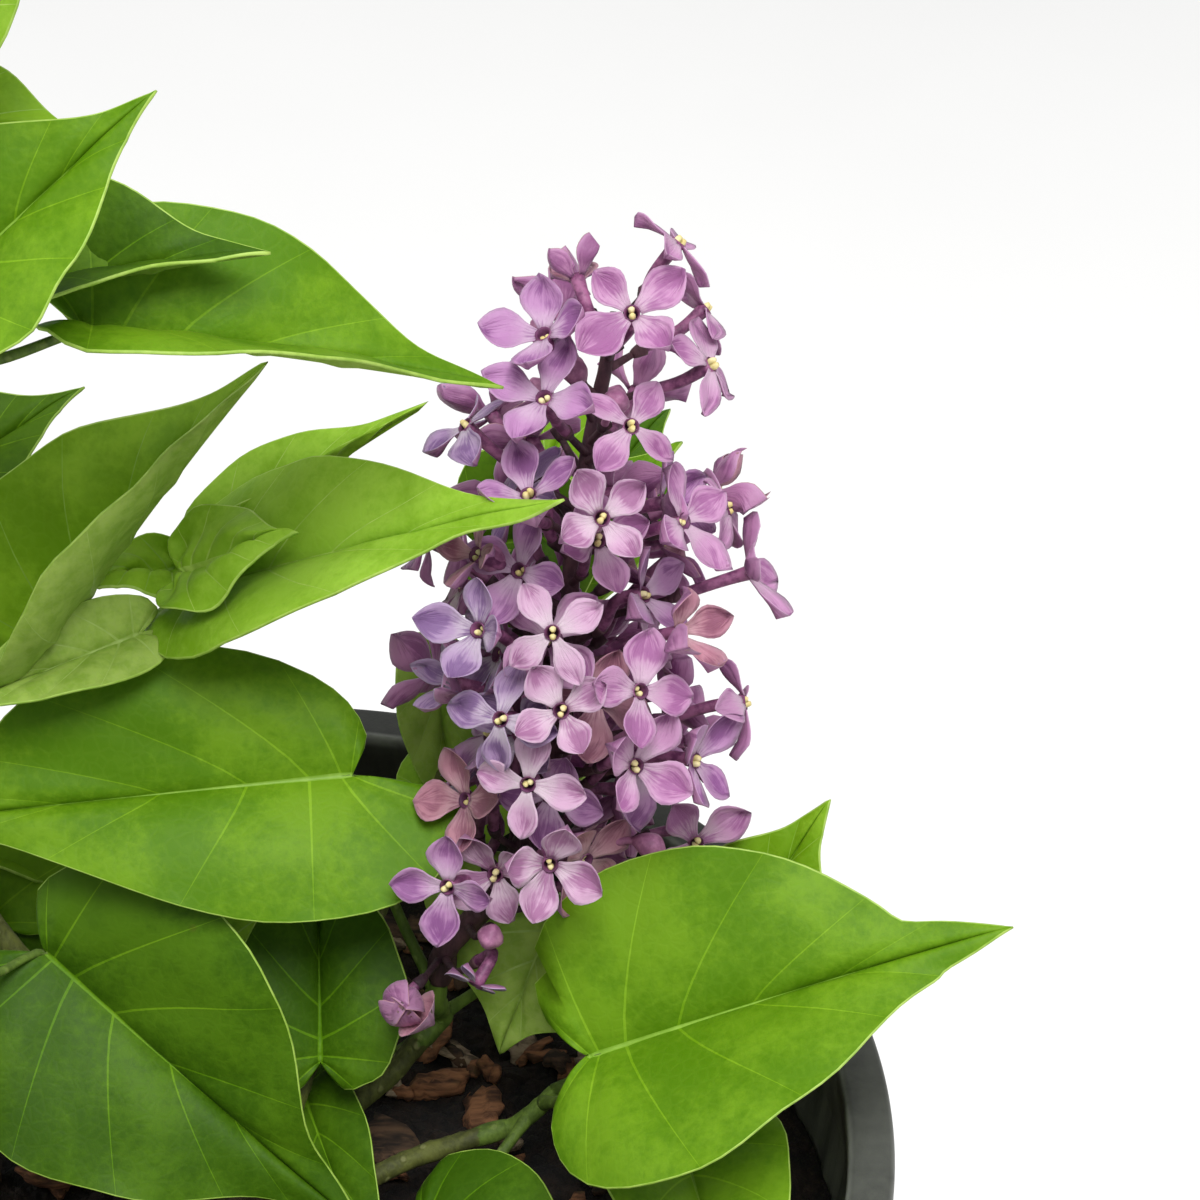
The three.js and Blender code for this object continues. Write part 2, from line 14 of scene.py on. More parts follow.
import bpy
import numpy as np
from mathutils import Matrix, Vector


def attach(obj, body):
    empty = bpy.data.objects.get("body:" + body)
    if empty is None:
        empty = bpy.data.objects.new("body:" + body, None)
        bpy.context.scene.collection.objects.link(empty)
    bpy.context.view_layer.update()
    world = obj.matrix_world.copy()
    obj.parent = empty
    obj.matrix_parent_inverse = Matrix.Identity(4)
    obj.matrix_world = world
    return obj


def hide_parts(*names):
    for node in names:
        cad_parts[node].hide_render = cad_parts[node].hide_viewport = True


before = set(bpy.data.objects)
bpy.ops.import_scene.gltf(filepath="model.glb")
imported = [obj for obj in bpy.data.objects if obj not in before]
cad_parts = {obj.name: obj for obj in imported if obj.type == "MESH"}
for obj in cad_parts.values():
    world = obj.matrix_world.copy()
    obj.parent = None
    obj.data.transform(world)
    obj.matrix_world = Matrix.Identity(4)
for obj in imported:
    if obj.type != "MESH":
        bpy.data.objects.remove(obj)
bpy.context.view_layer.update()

# %% [markdown]
# ## Measures, chance and directions
#
# A plant is easier to think about in millimetres, so all sizes below are in millimetres and are
# turned into Blender's metres in one place, where a mesh is made. Chance comes from a small seeded
# generator instead of Python's own, because the solids were grown with exactly this one: the same seed
# gives the same leaf in the same place.

# %% Millimetres and seeded chance
MM = 0.001
GAP = 0.3  # the clearance that the solids keep between neighbours
LEAD = 3  # a limb that goes on from another one starts straight for this long
GOLDEN_ANGLE = 137.5


def seeded(seed):
    """Chance that comes out the same on every run. Each call draws a number between two limits."""
    state = seed

    def draw(low=0.0, high=1.0):
        nonlocal state
        state = (state * 1664525 + 1013904223) % 2**32
        return low + (high - low) * state / 2**32

    return draw


def sway(draw, most):
    """A chance number that is as likely to be below zero as above it."""
    return draw(-most, most)


def mix(a, b, share):
    return a + (b - a) * share


def unit(vector):
    return vector / np.linalg.norm(vector)


def heading(turn, rise):
    """The direction with a compass turn (0 is +X, 90 is +Y) and a rise above level, in degrees."""
    turn, rise = math.radians(turn), math.radians(rise)
    level = math.cos(rise)
    return np.array([level * math.cos(turn), level * math.sin(turn), math.sin(rise)])


def aim(start, towards, angle):
    """A direction turned by an angle in degrees towards another one at right angles to it."""
    angle = math.radians(angle)
    return start * math.cos(angle) + towards * math.sin(angle)


def full_turn(sides):
    """The angles of the points of a ring, in radians."""
    return np.linspace(0, 2 * math.pi, sides, endpoint=False)


# %% [markdown]
# ## A line to grow along
#
# Stems, stalks and the outline of a leaf are all smooth lines through a few points. A Catmull-Rom
# line passes through every point it is given, so the points are real places on the plant. The line
# is also measured, so that "halfway up the shoot" means half of its length.

# %% Smooth lines
class Line:
    """A smooth line through points, measured so that it can be walked by length."""

    def __init__(self, *points, marks=200):
        p = np.array(points, float)
        self.points = np.vstack([2 * p[0] - p[1], p, 2 * p[-1] - p[-2]])
        self.marks = np.linspace(0, 1, marks + 1)
        steps = np.linalg.norm(np.diff(self.between(self.marks), axis=0), axis=1)
        self.walked = np.concatenate([[0], np.cumsum(steps)])
        self.length = self.walked[-1]

    def between(self, share):
        """Points by share of the spans between the given points, not by length."""
        share = np.atleast_1d(np.asarray(share, float))
        spans = len(self.points) - 3
        span = np.minimum((share * spans).astype(int), spans - 1)
        t = (share * spans - span)[..., None]
        a, b, c, d = (self.points[span + k] for k in range(4))
        sides = (b - a, c - b, d - c)
        ab, bc, cd = (np.sqrt(np.linalg.norm(side, axis=-1))[..., None] for side in sides)
        enter = bc * ((b - a) / ab - (c - a) / (ab + bc) + (c - b) / bc)
        leave = bc * ((c - b) / bc - (d - b) / (bc + cd) + (d - c) / cd)
        curve = 2 * b - 2 * c + enter + leave
        return b + enter * t + (3 * c - 3 * b - 2 * enter - leave) * t**2 + curve * t**3

    def _share(self, along):
        return np.interp(np.asarray(along) * self.length, self.walked, self.marks)

    def at(self, along):
        """The point at a share of the length."""
        return self.between(self._share(along)).reshape(*np.shape(along), -1)

    def ahead(self, along):
        """The direction of growth at a share of the length."""
        share, hair = self._share(along), 1e-4
        step = self.between(np.minimum(share + hair, 1)) - self.between(np.maximum(share - hair, 0))
        step = step / np.linalg.norm(step, axis=-1, keepdims=True)
        return step.reshape(*np.shape(along), -1)


def onwards(line, points):
    """A line that goes on from a limb's tip, a small clearance further, in the same direction."""
    end, way = line.at(1.0), line.ahead(1.0)
    return Line(end + GAP * way, end + (GAP + LEAD) * way, *points)


# %% [markdown]
# ## Shapes that pile up into one piece
#
# A lilac has tens of thousands of small shapes. A separate Blender object for each would be slow, so
# the shapes of one kind are collected in a heap of points and faces, and the heap becomes one mesh at
# the end. Every face also remembers which finish it has, and every point has a place in a flat map
# (0 to 1 each way), so that a petal can be darker at its foot.

# %% The heap
def add_object(name, data):
    """A new object in the scene."""
    made = bpy.data.objects.new(name, data)
    bpy.context.scene.collection.objects.link(made)
    return made


def quads(index):
    """Four-cornered faces over a grid of point numbers."""
    corners = [index[:-1, :-1], index[:-1, 1:], index[1:, 1:], index[1:, :-1]]
    return np.stack(corners, axis=-1).reshape(-1, 4)


class Heap:
    """Points and faces that pile up until they become one piece."""

    def __init__(self):
        self.points, self.places, self.faces, self.finishes = [], [], [], []
        self.count = 0

    def add(self, points, faces, finish=0, places=None):
        points = np.asarray(points, float).reshape(-1, 3)
        self.points.append(points)
        self.places.append(np.zeros((len(points), 2)) if places is None else places)
        self.faces.append(faces + self.count)
        self.finishes.append(np.broadcast_to(finish, len(faces)))
        self.count += len(points)

    def add_sheet(self, upper, under, faces, finish, places=None):
        """A thin sheet: the points of its face and of its underside, and its faces, underside and rim."""
        points = np.concatenate([upper.reshape(-1, 3), under.reshape(-1, 3)])
        both = None if places is None else np.tile(places, (2, 1))
        self.add(points, np.concatenate(faces), finish, both)

    def piece(self, name, materials, slot, *nodes):
        """Makes the mesh, hides the solids that it stands for, and rides on the plant's one body."""
        faces = np.concatenate(self.faces)
        real = faces != np.roll(faces, 1, axis=1)  # a side that has shrunk to a point is left out
        whole = real.sum(axis=1) > 2
        used, corner = np.unique(faces[whole][real[whole]], return_inverse=True)
        sides = real[whole].sum(axis=1)
        mesh = bpy.data.meshes.new(name)
        mesh.vertices.add(len(used))
        mesh.vertices.foreach_set("co", (np.concatenate(self.points)[used] * MM).ravel())
        mesh.loops.add(len(corner))
        mesh.loops.foreach_set("vertex_index", corner.astype(np.int32))
        mesh.polygons.add(len(sides))
        mesh.polygons.foreach_set("loop_start", (np.cumsum(sides) - sides).astype(np.int32))
        mesh.polygons.foreach_set("material_index", np.concatenate(self.finishes)[whole].astype(np.int32))
        places = np.concatenate(self.places)[used][corner]
        mesh.uv_layers.new(name="place").data.foreach_set("uv", places.ravel())
        mesh.update(calc_edges=True)
        mesh.shade_smooth()
        for material in materials:
            mesh.materials.append(material)
        made = add_object(name, mesh)
        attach(made, "root")
        if nodes:
            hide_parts(*nodes)
        print(f"{name}: {int((sides - 2).sum())} triangles")


# %% [markdown]
# ## Two ways to lay faces
#
# Nearly everything on the plant is either a round limb or a thin sheet. A limb is a stack of rings
# with a point at each end. A sheet has a face, an underside and a narrow rim between them, so even a
# petal is a closed body and not a paper-thin surface.

# %% Rings and sheets
def loft(rings):
    """Points and faces over a stack of rings. Both ends draw in to one point."""
    rings = np.asarray(rings, float)
    count, sides = rings.shape[:2]
    index = np.arange(count * sides).reshape(count, sides)
    ends = np.full((2, sides), count * sides) + [[0], [1]]
    index = np.vstack([ends[:1], index, ends[1:]])
    points = np.vstack([rings.reshape(-1, 3), rings[[0, -1]].mean(axis=1)])
    return points, quads(np.hstack([index, index[:, :1]]))


def rings_along(line, radius, sides, steps, start=0.0, end=1.0):
    """Rings along a line. The radius is a function of how far along (0 to 1) and of the angle."""
    along = np.linspace(start, end, steps + 1)
    centre, way = line.at(along), line.ahead(along)
    angle = full_turn(sides)
    across = np.cross(way[0], [0.3, 0.8, 0.5])  # a direction that no limb starts in
    rings = []
    for middle, forward, share in zip(centre, way, np.linspace(0, 1, steps + 1)):
        across = unit(across - forward * (across @ forward))
        other = np.cross(forward, across)
        reach = radius(share, angle)[:, None]
        rings.append(middle + reach * (across * np.cos(angle)[:, None] + other * np.sin(angle)[:, None]))
    return rings


def tube(line, radius, **sizes):
    """A closed round limb along a line. The sizes are its sides, its steps, its start and its end."""
    return loft(rings_along(line, radius, **sizes))


def taper(low, high):
    """The radius of a smooth limb from its foot to its tip."""
    return lambda along, angle: np.full(len(angle), mix(low, high, along))


def sheet_faces(rows, columns, pinched=()):
    """Faces of a thin sheet: its face, its underside and its rim. Pinched rows are one point."""
    face = np.arange(rows * columns).reshape(rows, columns)
    for row in pinched:
        face[row] = face[row, 0]
    under = face + rows * columns
    rim = []
    for edge, beyond in ((face[:, -1], under[:, -1]), (face[-1, ::-1], under[-1, ::-1]),
                         (face[::-1, 0], under[::-1, 0]), (face[0], under[0])):
        rim.append(np.stack([edge[:-1], edge[1:], beyond[1:], beyond[:-1]], axis=-1))
    return quads(face)[:, ::-1], quads(under), np.concatenate(rim)


# %% [markdown]
# ## Finishes from expressions
#
# A material in Blender is a small network of nodes, which soon becomes hard to read as code. Here one
# class wraps the output of a node so that ordinary arithmetic adds the Math nodes, and one method
# makes any other node from its type, its settings and its inputs. A finish is then a few lines that
# read like a recipe: a colour, spoiled a little by noise, with a bump.

# %% Shader arithmetic
class Field:
    """A number that varies over a surface: a node's output, with ordinary arithmetic."""

    def __init__(self, finish, socket):
        self.finish, self.socket = finish, socket

    def _math(self, operation, a, b):
        return self.finish.node("Math", {"operation": operation}, {0: a, 1: b})

    def __add__(self, other):
        return self._math("ADD", self, other)

    def __sub__(self, other):
        return self._math("SUBTRACT", self, other)

    def __rsub__(self, other):
        return self._math("SUBTRACT", other, self)

    def __mul__(self, other):
        return self._math("MULTIPLY", self, other)

    def __pow__(self, other):
        return self._math("POWER", self, other)

    __radd__, __rmul__ = __add__, __mul__


# %% [markdown]
# The second class is the material itself. It adds nodes, links them, and at the end plugs colour,
# roughness and bump into the surface. All patterns are noise or cells at the object's own coordinates,
# so nothing has to be unwrapped, and a finish looks the same from near and from far.

# %% Recipes for finishes
class Finish:
    """A material while it is being made."""

    def __init__(self, name, **constants):
        self.material = bpy.data.materials.new(name)
        self.material.use_nodes = True
        self.tree = self.material.node_tree
        self.tree.nodes.clear()
        self.surface = self.tree.nodes.new("ShaderNodeBsdfPrincipled")
        out = self.tree.nodes.new("ShaderNodeOutputMaterial")
        self.tree.links.new(self.surface.outputs[0], out.inputs["Surface"])
        for socket, value in constants.items():
            self.surface.inputs[socket.replace("_", " ")].default_value = value
        self.where = self.node("TexCoord", {}, {}, "Object")

    def node(self, kind, settings, inputs, output=0):
        """Any node: its type, its settings, then the values or links of its inputs."""
        made = self.tree.nodes.new("ShaderNode" + kind)
        for setting, value in settings.items():
            setattr(made, setting, value)
        self.feed(made, inputs)
        return Field(self, made.outputs[output])

    def feed(self, node, inputs):
        for key, value in inputs.items():
            if isinstance(value, Field):
                self.tree.links.new(value.socket, node.inputs[key])
            else:
                node.inputs[key].default_value = value

    def noise(self, scale, detail=3, roughness=0.55, where=None):
        """Soft noise. The scale is in waves per metre."""
        inputs = {"Vector": where or self.where, "Scale": scale, "Detail": detail, "Roughness": roughness}
        return self.node("TexNoise", {}, inputs)

    def cells(self, scale, feature="DISTANCE_TO_EDGE", where=None):
        """How far a point lies from the border of its cell."""
        inputs = {"Vector": where or self.where, "Scale": scale}
        return self.node("TexVoronoi", {"feature": feature}, inputs, "Distance")

    def stretched(self, scale, where=None, **more):
        """Places with their own scale each way, which draws the noise on them out along one direction."""
        return self.node("Mapping", {}, {"Vector": where or self.where, "Scale": scale, **more})

    def between(self, value, low, high):
        """Stretches a value so that low becomes 0 and high becomes 1, and cuts off the rest."""
        inputs = {"Value": value, "From Min": low, "From Max": high}
        return self.node("MapRange", {"interpolation_type": "SMOOTHSTEP"}, inputs)

    def blend(self, share, a, b):
        """One colour where the share is 0 and another where it is 1."""
        return self.node("Mix", {"data_type": "RGBA"}, {0: share, 6: a, 7: b}, 2)

    def apart(self, vector):
        """The three parts of a vector."""
        return [self.node("SeparateXYZ", {}, {0: vector}, k) for k in range(3)]

    def done(self, colour, roughness, relief=None, strength=0.5, depth=0.2):
        """Plugs the colour, the roughness and a bump of some depth in millimetres into the surface."""
        inputs = {"Base Color": colour, "Roughness": roughness}
        if relief is not None:
            bump = {"Height": relief, "Strength": strength, "Distance": depth * MM}
            inputs["Normal"] = self.node("Bump", {}, bump)
        self.feed(self.surface, inputs)
        return self.material


def abs_of(value):
    """A field without its sign."""
    return value.finish.node("Math", {"operation": "ABSOLUTE"}, {0: value})


def rgb(*screen):
    """A colour as it is read off a screen (0 to 255), in Blender's linear terms."""
    shares = [value / 255 for value in screen]
    return (*(v / 12.92 if v < 0.04 else ((v + 0.055) / 1.055) ** 2.4 for v in shares), 1)


def mottled_finish(name, dark, light, grain=(500, 3), roughness=0.5, strength=0.3, depth=0.1):
    """A plain finish between two colours, for veins and other small parts."""
    f = Finish(name)
    mottle = f.noise(*grain)
    colour = f.blend(f.between(mottle, 0.35, 0.65), dark, light)
    return f.done(colour, roughness + 0.1 * mottle, mottle, strength, depth)


def soft(weight, tint):
    """Settings that let a little light through a leaf or a petal and tint it on its way."""
    return {"Subsurface_Weight": weight, "Subsurface_Radius": tint, "Subsurface_Scale": MM}


# %% [markdown]
# ## The pot
#
# The pot is moulded black plastic: a tapered wall, an upright band round the top and a lip that turns
# inwards. It is turned on a lathe from its outline, as the real mould was. The lip is where dust
# and dried water collect, so the finish asks how high a point lies and how far it faces upwards, and
# lays a patchy grey film there. The inside of the wall has the faint upright ribs of the mould.

# %% Pot sizes and outline
POT = {
    "height": 165, "top": 82.5, "foot": 64, "wall": 1.6, "floor": 3, "lip": 6, "band": 15, "step": 2.5,
    "round": 1.1, "tuck": 2,  # the rounding of its edges, and how far the inner wall ends below the band
}
band_foot = POT["height"] - POT["band"]
neck = POT["top"] - POT["step"]
lip_edge = POT["top"] - POT["lip"]


def inner_radius(z):
    """The radius of the pot's inner wall at a height."""
    return mix(POT["foot"], neck, z / band_foot) - POT["wall"]


def rounded(corners, radius, steps=4):
    """An outline with each of its corners rounded. Corners are (distance from the axis, height)."""
    corners = np.array(corners, float)
    outline = [corners[0]]
    for before, corner, after in zip(corners, corners[1:], corners[2:]):
        into, out = unit(before - corner), unit(after - corner)
        room = min(radius, *(0.45 * np.linalg.norm(end - corner) for end in (before, after)))
        for t in np.linspace(0, 1, steps + 1):
            outline.append(corner + into * room * (1 - t) ** 2 + out * room * t**2)
    return np.array([*outline, corners[-1]])


pot_corners = [
    (0, 0), (POT["foot"], 0), (neck, band_foot), (POT["top"], band_foot), (POT["top"], POT["height"]),
    (lip_edge, POT["height"]), (lip_edge, POT["height"] - 2 * POT["wall"]),
    (inner_radius(band_foot), band_foot - POT["tuck"]), (inner_radius(POT["floor"]), POT["floor"]),
    (0, POT["floor"]),
]
pot_outline = rounded(pot_corners, POT["round"])
print("pot outline:", len(pot_outline), "points")

# %% [markdown]
# The finish comes before the mesh that wears it. Black plastic is never quite black or quite even: the
# wall has a fine moulded grain and long soft streaks, and the dust on the lip is broken up by noise of
# two sizes. Dust is rougher than plastic, so the same mask drives both the colour and the roughness. The
# normal tells the inside of the wall from its outside: there it points towards the pot's own axis. The
# inside is painted lighter in upright streaks, which is painted light in place of the light that reaches
# into the pot, and thin light lines along the lip's two edges are painted highlights. The dust and the
# painted light on the inner wall fade out towards the back of the pot.

# %% Finish: pot plastic
def below_rim(distance):
    """A height in metres, from a distance below the rim in millimetres."""
    return (POT["height"] - distance) * MM


def pot_plastic():
    f = Finish("pot_plastic")
    x, y, height = f.apart(f.where)
    radius = (x * x + y * y) ** 0.5
    normal_x, normal_y, upwards = f.apart(f.node("NewGeometry", {}, {}, "Normal"))
    inwards = 0 - (normal_x * x + normal_y * y) * radius**-1
    smears = f.noise(45, 5, 0.65)
    specks = f.noise(600, 3)
    # Dust and the painted light on the inner wall fade out towards the back of the pot.
    front_weight = 1 - 0.8 * f.between(y, 0.02, 0.06)
    lip = f.between(upwards, 0.35, 0.95) * f.between(height, below_rim(7), below_rim(1.5)) * front_weight
    dust = lip * f.between(smears, 0.25, 0.6) * (0.5 + 0.55 * specks)
    streaks = f.noise(1, 4, 0.6, f.stretched((160, 160, 14)))
    # Painted light: the inner wall is painted lighter in upright streaks, in place of the light that
    # reaches into the pot.
    inside = f.between(inwards, 0.3, 0.8) * front_weight
    plastic = f.blend(f.between(streaks, 0.35, 0.7), rgb(18, 20, 18), rgb(34, 36, 33))
    plastic = f.blend(inside * f.between(streaks, 0.2, 0.7) * 0.9, plastic, rgb(120, 124, 112))
    colour = f.blend(dust, plastic, rgb(80, 82, 76))
    # Painted highlights: thin light lines along the lip's inner and outer edges, where the rounded edges
    # catch the light.
    inner_edge = 1 - f.between(abs_of(radius - lip_edge * MM), 0.0, 0.0009)
    outer_edge = 1 - f.between(abs_of(radius - POT["top"] * MM), 0.0, 0.0007)
    edges = (inner_edge + outer_edge) * f.between(height, below_rim(2.5), below_rim(1))
    painted_edge_highlight = edges * f.between(smears, 0.35, 0.55)
    colour = f.blend(painted_edge_highlight * 0.6, colour, rgb(128, 130, 124))
    roughness = 0.36 + 0.14 * streaks + 0.35 * dust
    grain = f.noise(1800, 2) + 0.6 * f.noise(240, 3)
    return f.done(colour, roughness, grain, 0.35, 0.15)


pot_finish = pot_plastic()
print("pot finish:", pot_finish.name)

# %% [markdown]
# Turning the outline gives the wall. Two details are then pressed into it: the ribs, which only the
# inner wall has, and the small nub that the mould has left on the band.

# %% Turn the pot
POT_SIDES = 240
RIBS = {"count": 60, "deep": 0.25}
NUB = {"turn": -20, "height": 156, "size": 1.5, "proud": 0.8}


def turned(outline, sides, push=None):
    """Rings of a turned body, each point pushed out by a function of its radius, height and angle."""
    angle = full_turn(sides)
    rings = []
    for radius, z in outline:
        reach = radius + (push(radius, z, angle) if push else 0 * angle)
        rings.append(np.stack([reach * np.cos(angle), reach * np.sin(angle), 0 * angle + z], axis=-1))
    return rings


def pot_push(radius, z, angle):
    """Ribs on the inner wall and one nub on the band."""
    if radius < 1:
        return 0 * angle
    inside = radius < inner_radius(z) + 0.5 and POT["floor"] + 2 < z < band_foot
    ribs = -RIBS["deep"] * np.maximum(np.cos(RIBS["count"] * angle), 0) ** 2 if inside else 0 * angle
    apart = (np.degrees(angle) - NUB["turn"] + 180) % 360 - 180
    away = np.hypot(np.radians(apart) * radius, z - NUB["height"])
    nub = NUB["proud"] * np.exp(-((away / NUB["size"]) ** 2)) if radius > POT["top"] - 0.01 else 0
    return ribs + nub


def subdivided(outline, longest):
    """The outline with points added, so that no side is longer than this."""
    points = [outline[0]]
    for start, end in zip(outline, outline[1:]):
        count = max(1, math.ceil(np.linalg.norm(end - start) / longest))
        points.extend(mix(start, end, (k + 1) / count) for k in range(count))
    return np.array(points)


pot = Heap()
pot.add(*loft(turned(subdivided(pot_outline[1:-1], 6), POT_SIDES, pot_push)))
pot.piece("pot_moulding", [pot_finish], "pot", "pot")

# %% [markdown]
# ## The potting mix
#
# Nursery compost is crumbs of peat under a scatter of bark flakes. The crumbs are one uneven bed,
# pushed up and down by waves of several sizes. The flakes are real shapes on top, each a chipped slab
# with its corners knocked about, in three colours: fresh red bark, old grey bark, and nearly black.
# Many flakes of three plain finishes look more varied than one flake with a busy finish.

# %% Finishes: crumbs and bark flakes
def crumb_finish():
    f = Finish("peat_crumbs")
    lumps = f.noise(260, 5, 0.7)
    colour = f.blend(f.between(lumps, 0.35, 0.7), rgb(7, 5, 4), rgb(40, 28, 19))
    return f.done(colour, 0.92, lumps + f.cells(420) * 1.5, 1.0, 1.2)


def flake_finish(name, dark, light, moss):
    """Bark has long fibres, so its noise is drawn out along one direction."""
    f = Finish(name)
    fibres = f.noise(1, 4, 0.6, f.stretched((90, 700, 900), Rotation=(0.3, 0.2, 0.8)))
    patches = f.noise(160, 3)
    colour = f.blend(f.between(fibres, 0.35, 0.68), dark, light)
    colour = f.blend(f.between(patches, 0.6, 0.75) * 0.45, colour, moss)
    return f.done(colour, 0.8 + 0.12 * patches, fibres + 0.4 * patches, 0.9, 0.5)


soil_finishes = [
    crumb_finish(),
    flake_finish("flake_red", rgb(66, 40, 23), rgb(150, 102, 68), rgb(92, 84, 46)),
    flake_finish("flake_grey", rgb(84, 70, 54), rgb(172, 152, 128), rgb(102, 100, 60)),
    flake_finish("flake_dark", rgb(34, 24, 16), rgb(96, 72, 52), rgb(58, 54, 32)),
]
print("soil finishes:", [m.name for m in soil_finishes])

# %% [markdown]
# The bed is a disc of rings. Its waves are sums of sines with seeded directions, which is the simplest
# noise there is and good enough under a layer of flakes. The bed is held flat where the trunk stands
# and tucks in against the wall.

# %% Lay the crumb bed
SOIL = {
    "top": 140,
    "crown": 1.2,  # the bed rises by this much on its way out and sinks by as much at the wall
    "crown_at": (0.17, 0.6, 1),
    "relief": (0.9, 0.45),  # heights of the coarse and of the fine waves
    "sink": 0.8,
    "calm": (8, 10),  # smooth up to here round the trunk, and quite rough this much further out
    "rings_below": (4, 70),  # heights of two rings that close the body under the bed
}
BED_RINGS = 90
BED_SIDES = 220


def waves(seed, count, shortest, longest):
    """A gentle random surface: a sum of sine waves with seeded directions and lengths in millimetres."""
    draw = seeded(seed)
    made = [(draw(0, 2 * math.pi), draw(shortest, longest), draw(0, 2 * math.pi)) for _ in range(count)]

    def level(x, y):
        return sum(np.sin(2 * math.pi * (x * math.cos(a) + y * math.sin(a)) / size + phase)
                   for a, size, phase in made) / math.sqrt(count)

    return level


soil_reach = inner_radius(SOIL["top"]) - GAP
coarse = waves(seed=12, count=14, shortest=9, longest=26)
fine = waves(seed=13, count=24, shortest=2.2, longest=5)


def soil_level(x, y):
    """The height of the crumb bed at a point."""
    r = np.hypot(x, y)
    crown = SOIL["crown"] * np.interp(r / soil_reach, SOIL["crown_at"], [0, 1, -1])
    calm, fade = SOIL["calm"]
    rough = np.clip((r - calm) / fade, 0, 1)
    high, low = SOIL["relief"]
    lumps = high * coarse(x, y) + low * fine(x, y)
    return SOIL["top"] + crown + rough * lumps - SOIL["sink"] * rough


soil = Heap()
bed = []
for radius in np.linspace(soil_reach, 0.5, BED_RINGS):
    angle = full_turn(BED_SIDES)
    x, y = radius * np.cos(angle), radius * np.sin(angle)
    bed.append(np.stack([x, y, soil_level(x, y)], axis=-1))
sides = turned([(inner_radius(z) - GAP, z) for z in SOIL["rings_below"]], BED_SIDES)
soil.add(*loft([*sides, *bed]))
print("bed:", BED_RINGS, "rings, level at the wall", round(float(soil_level(soil_reach, 0)), 1), "mm")

# %% [markdown]
# The flakes follow the rule of the solids for the first 26, which are the large ones, and then go on
# with smaller and smaller ones that fill the gaps between. Each flake is a slab with a worn rim: a
# grid for its top and underside, rounded off towards the edge and slightly warped.

# %% One bark flake
BARK = {
    "chips": 26, "length": (9, 19), "width": (5, 9), "thick": (3, 5), "wear": (0.75, 0.6, 0.7),
    "tilt": (18, 12), "lift": (0.6, 2.2), "clear_trunk": 12, "clear_wall": 2,
}
SMALL = {
    "chips": 620, "length": (3, 11), "spread": (0.85, 1.1), "slim": (0.35, 0.75), "thick": (0.8, 2.0),
    "tilt": 28, "lift": (0.3, 1.8), "clear_trunk": 8,
    "round": 89,  # as many flakes, from the trunk to the wall, make one round
}
FLAKE = {
    "ragged": (0.22, 0.25),  # how deep the rim is broken, at the ends and along the sides
    "narrow": (0.12, 0.25),  # how much the slab narrows towards its corners
    "warp": 0.5, "waves": 0.12, "bumps": 0.08,  # as shares of the thickness
    "rim": 6, "thin": 0.7,  # how late the slab thins towards its rim, and by how much
}


def turn_about(points, axis, angle):
    """Points turned about one of the main axes, by an angle in degrees."""
    a, b = [k for k in range(3) if k != axis]
    if axis == 1:
        a, b = b, a
    c, s = math.cos(math.radians(angle)), math.sin(math.radians(angle))
    turned_points = points.copy()
    turned_points[:, a] = c * points[:, a] - s * points[:, b]
    turned_points[:, b] = s * points[:, a] + c * points[:, b]
    return turned_points


def flake(size, tilt, turn, place, finish, draw, rows=9, columns=7):
    """One chipped slab of bark."""
    u, v = np.meshgrid(np.linspace(-1, 1, rows), np.linspace(-1, 1, columns), indexing="ij")
    length, width, thick = size
    ragged = waves(int(draw(0, 1e6)), count=5, shortest=0.7, longest=2.2)
    in_u = 1 - FLAKE["ragged"][0] * np.abs(ragged(v, 0.3 * u)) - FLAKE["narrow"][0] * v**2
    in_v = 1 - FLAKE["ragged"][1] * np.abs(ragged(u, 0.3 * v + 5)) - FLAKE["narrow"][1] * u**2
    x, y = u * in_u * length / 2, v * in_v * width / 2
    half = thick / 2 * (1 - FLAKE["thin"] * np.maximum(np.abs(u), np.abs(v)) ** FLAKE["rim"])
    warp = sway(draw, FLAKE["warp"]) * thick * (u**2 - 0.4)
    warp = warp + FLAKE["waves"] * thick * ragged(2 * u, 2 * v)
    top = warp + half + FLAKE["bumps"] * thick * ragged(6 * v, u)
    under = warp - half
    sides = [np.stack([x, y, z], -1).reshape(-1, 3) for z in (top, under)]
    for axis, angle in enumerate((*tilt, turn)):
        sides = [turn_about(points, axis, angle) for points in sides]
    soil.add_sheet(sides[0] + place, sides[1] + place, sheet_faces(rows, columns), finish)


# %% [markdown]
# With one flake at hand, the rest is dealing out. The golden angle spreads any number of flakes evenly
# round the trunk, and a square root spreads them evenly from the trunk to the wall. A particle system
# could do the same, but these flakes have to lie where the solids have theirs.

# %% Deal out the flakes
draw = seeded(11)  # as in the solids
chance = seeded(14)  # what the solids leave out
wall_side = inner_radius(SOIL["top"]) - GAP - BARK["clear_wall"]
for k in range(BARK["chips"]):
    length = draw(*BARK["length"])
    near, far = BARK["clear_trunk"] + length / 2, wall_side - length / 2
    distance = mix(near, far, math.sqrt((k + 0.5) / BARK["chips"]))
    size = (length, draw(*BARK["width"]), draw(*BARK["thick"]))
    for _ in range(8 * 3):
        draw()  # the solids wear the eight corners of a block here, which a flake does its own way
    tilt = [sway(draw, most) for most in BARK["tilt"]]
    turn = math.degrees(draw() * math.pi)
    place = heading(k * GOLDEN_ANGLE, 0) * distance + [0, 0, SOIL["top"] + draw(*BARK["lift"])]
    flake(np.array(size) * BARK["wear"], tilt, turn, place, 1 + k % 3, chance)
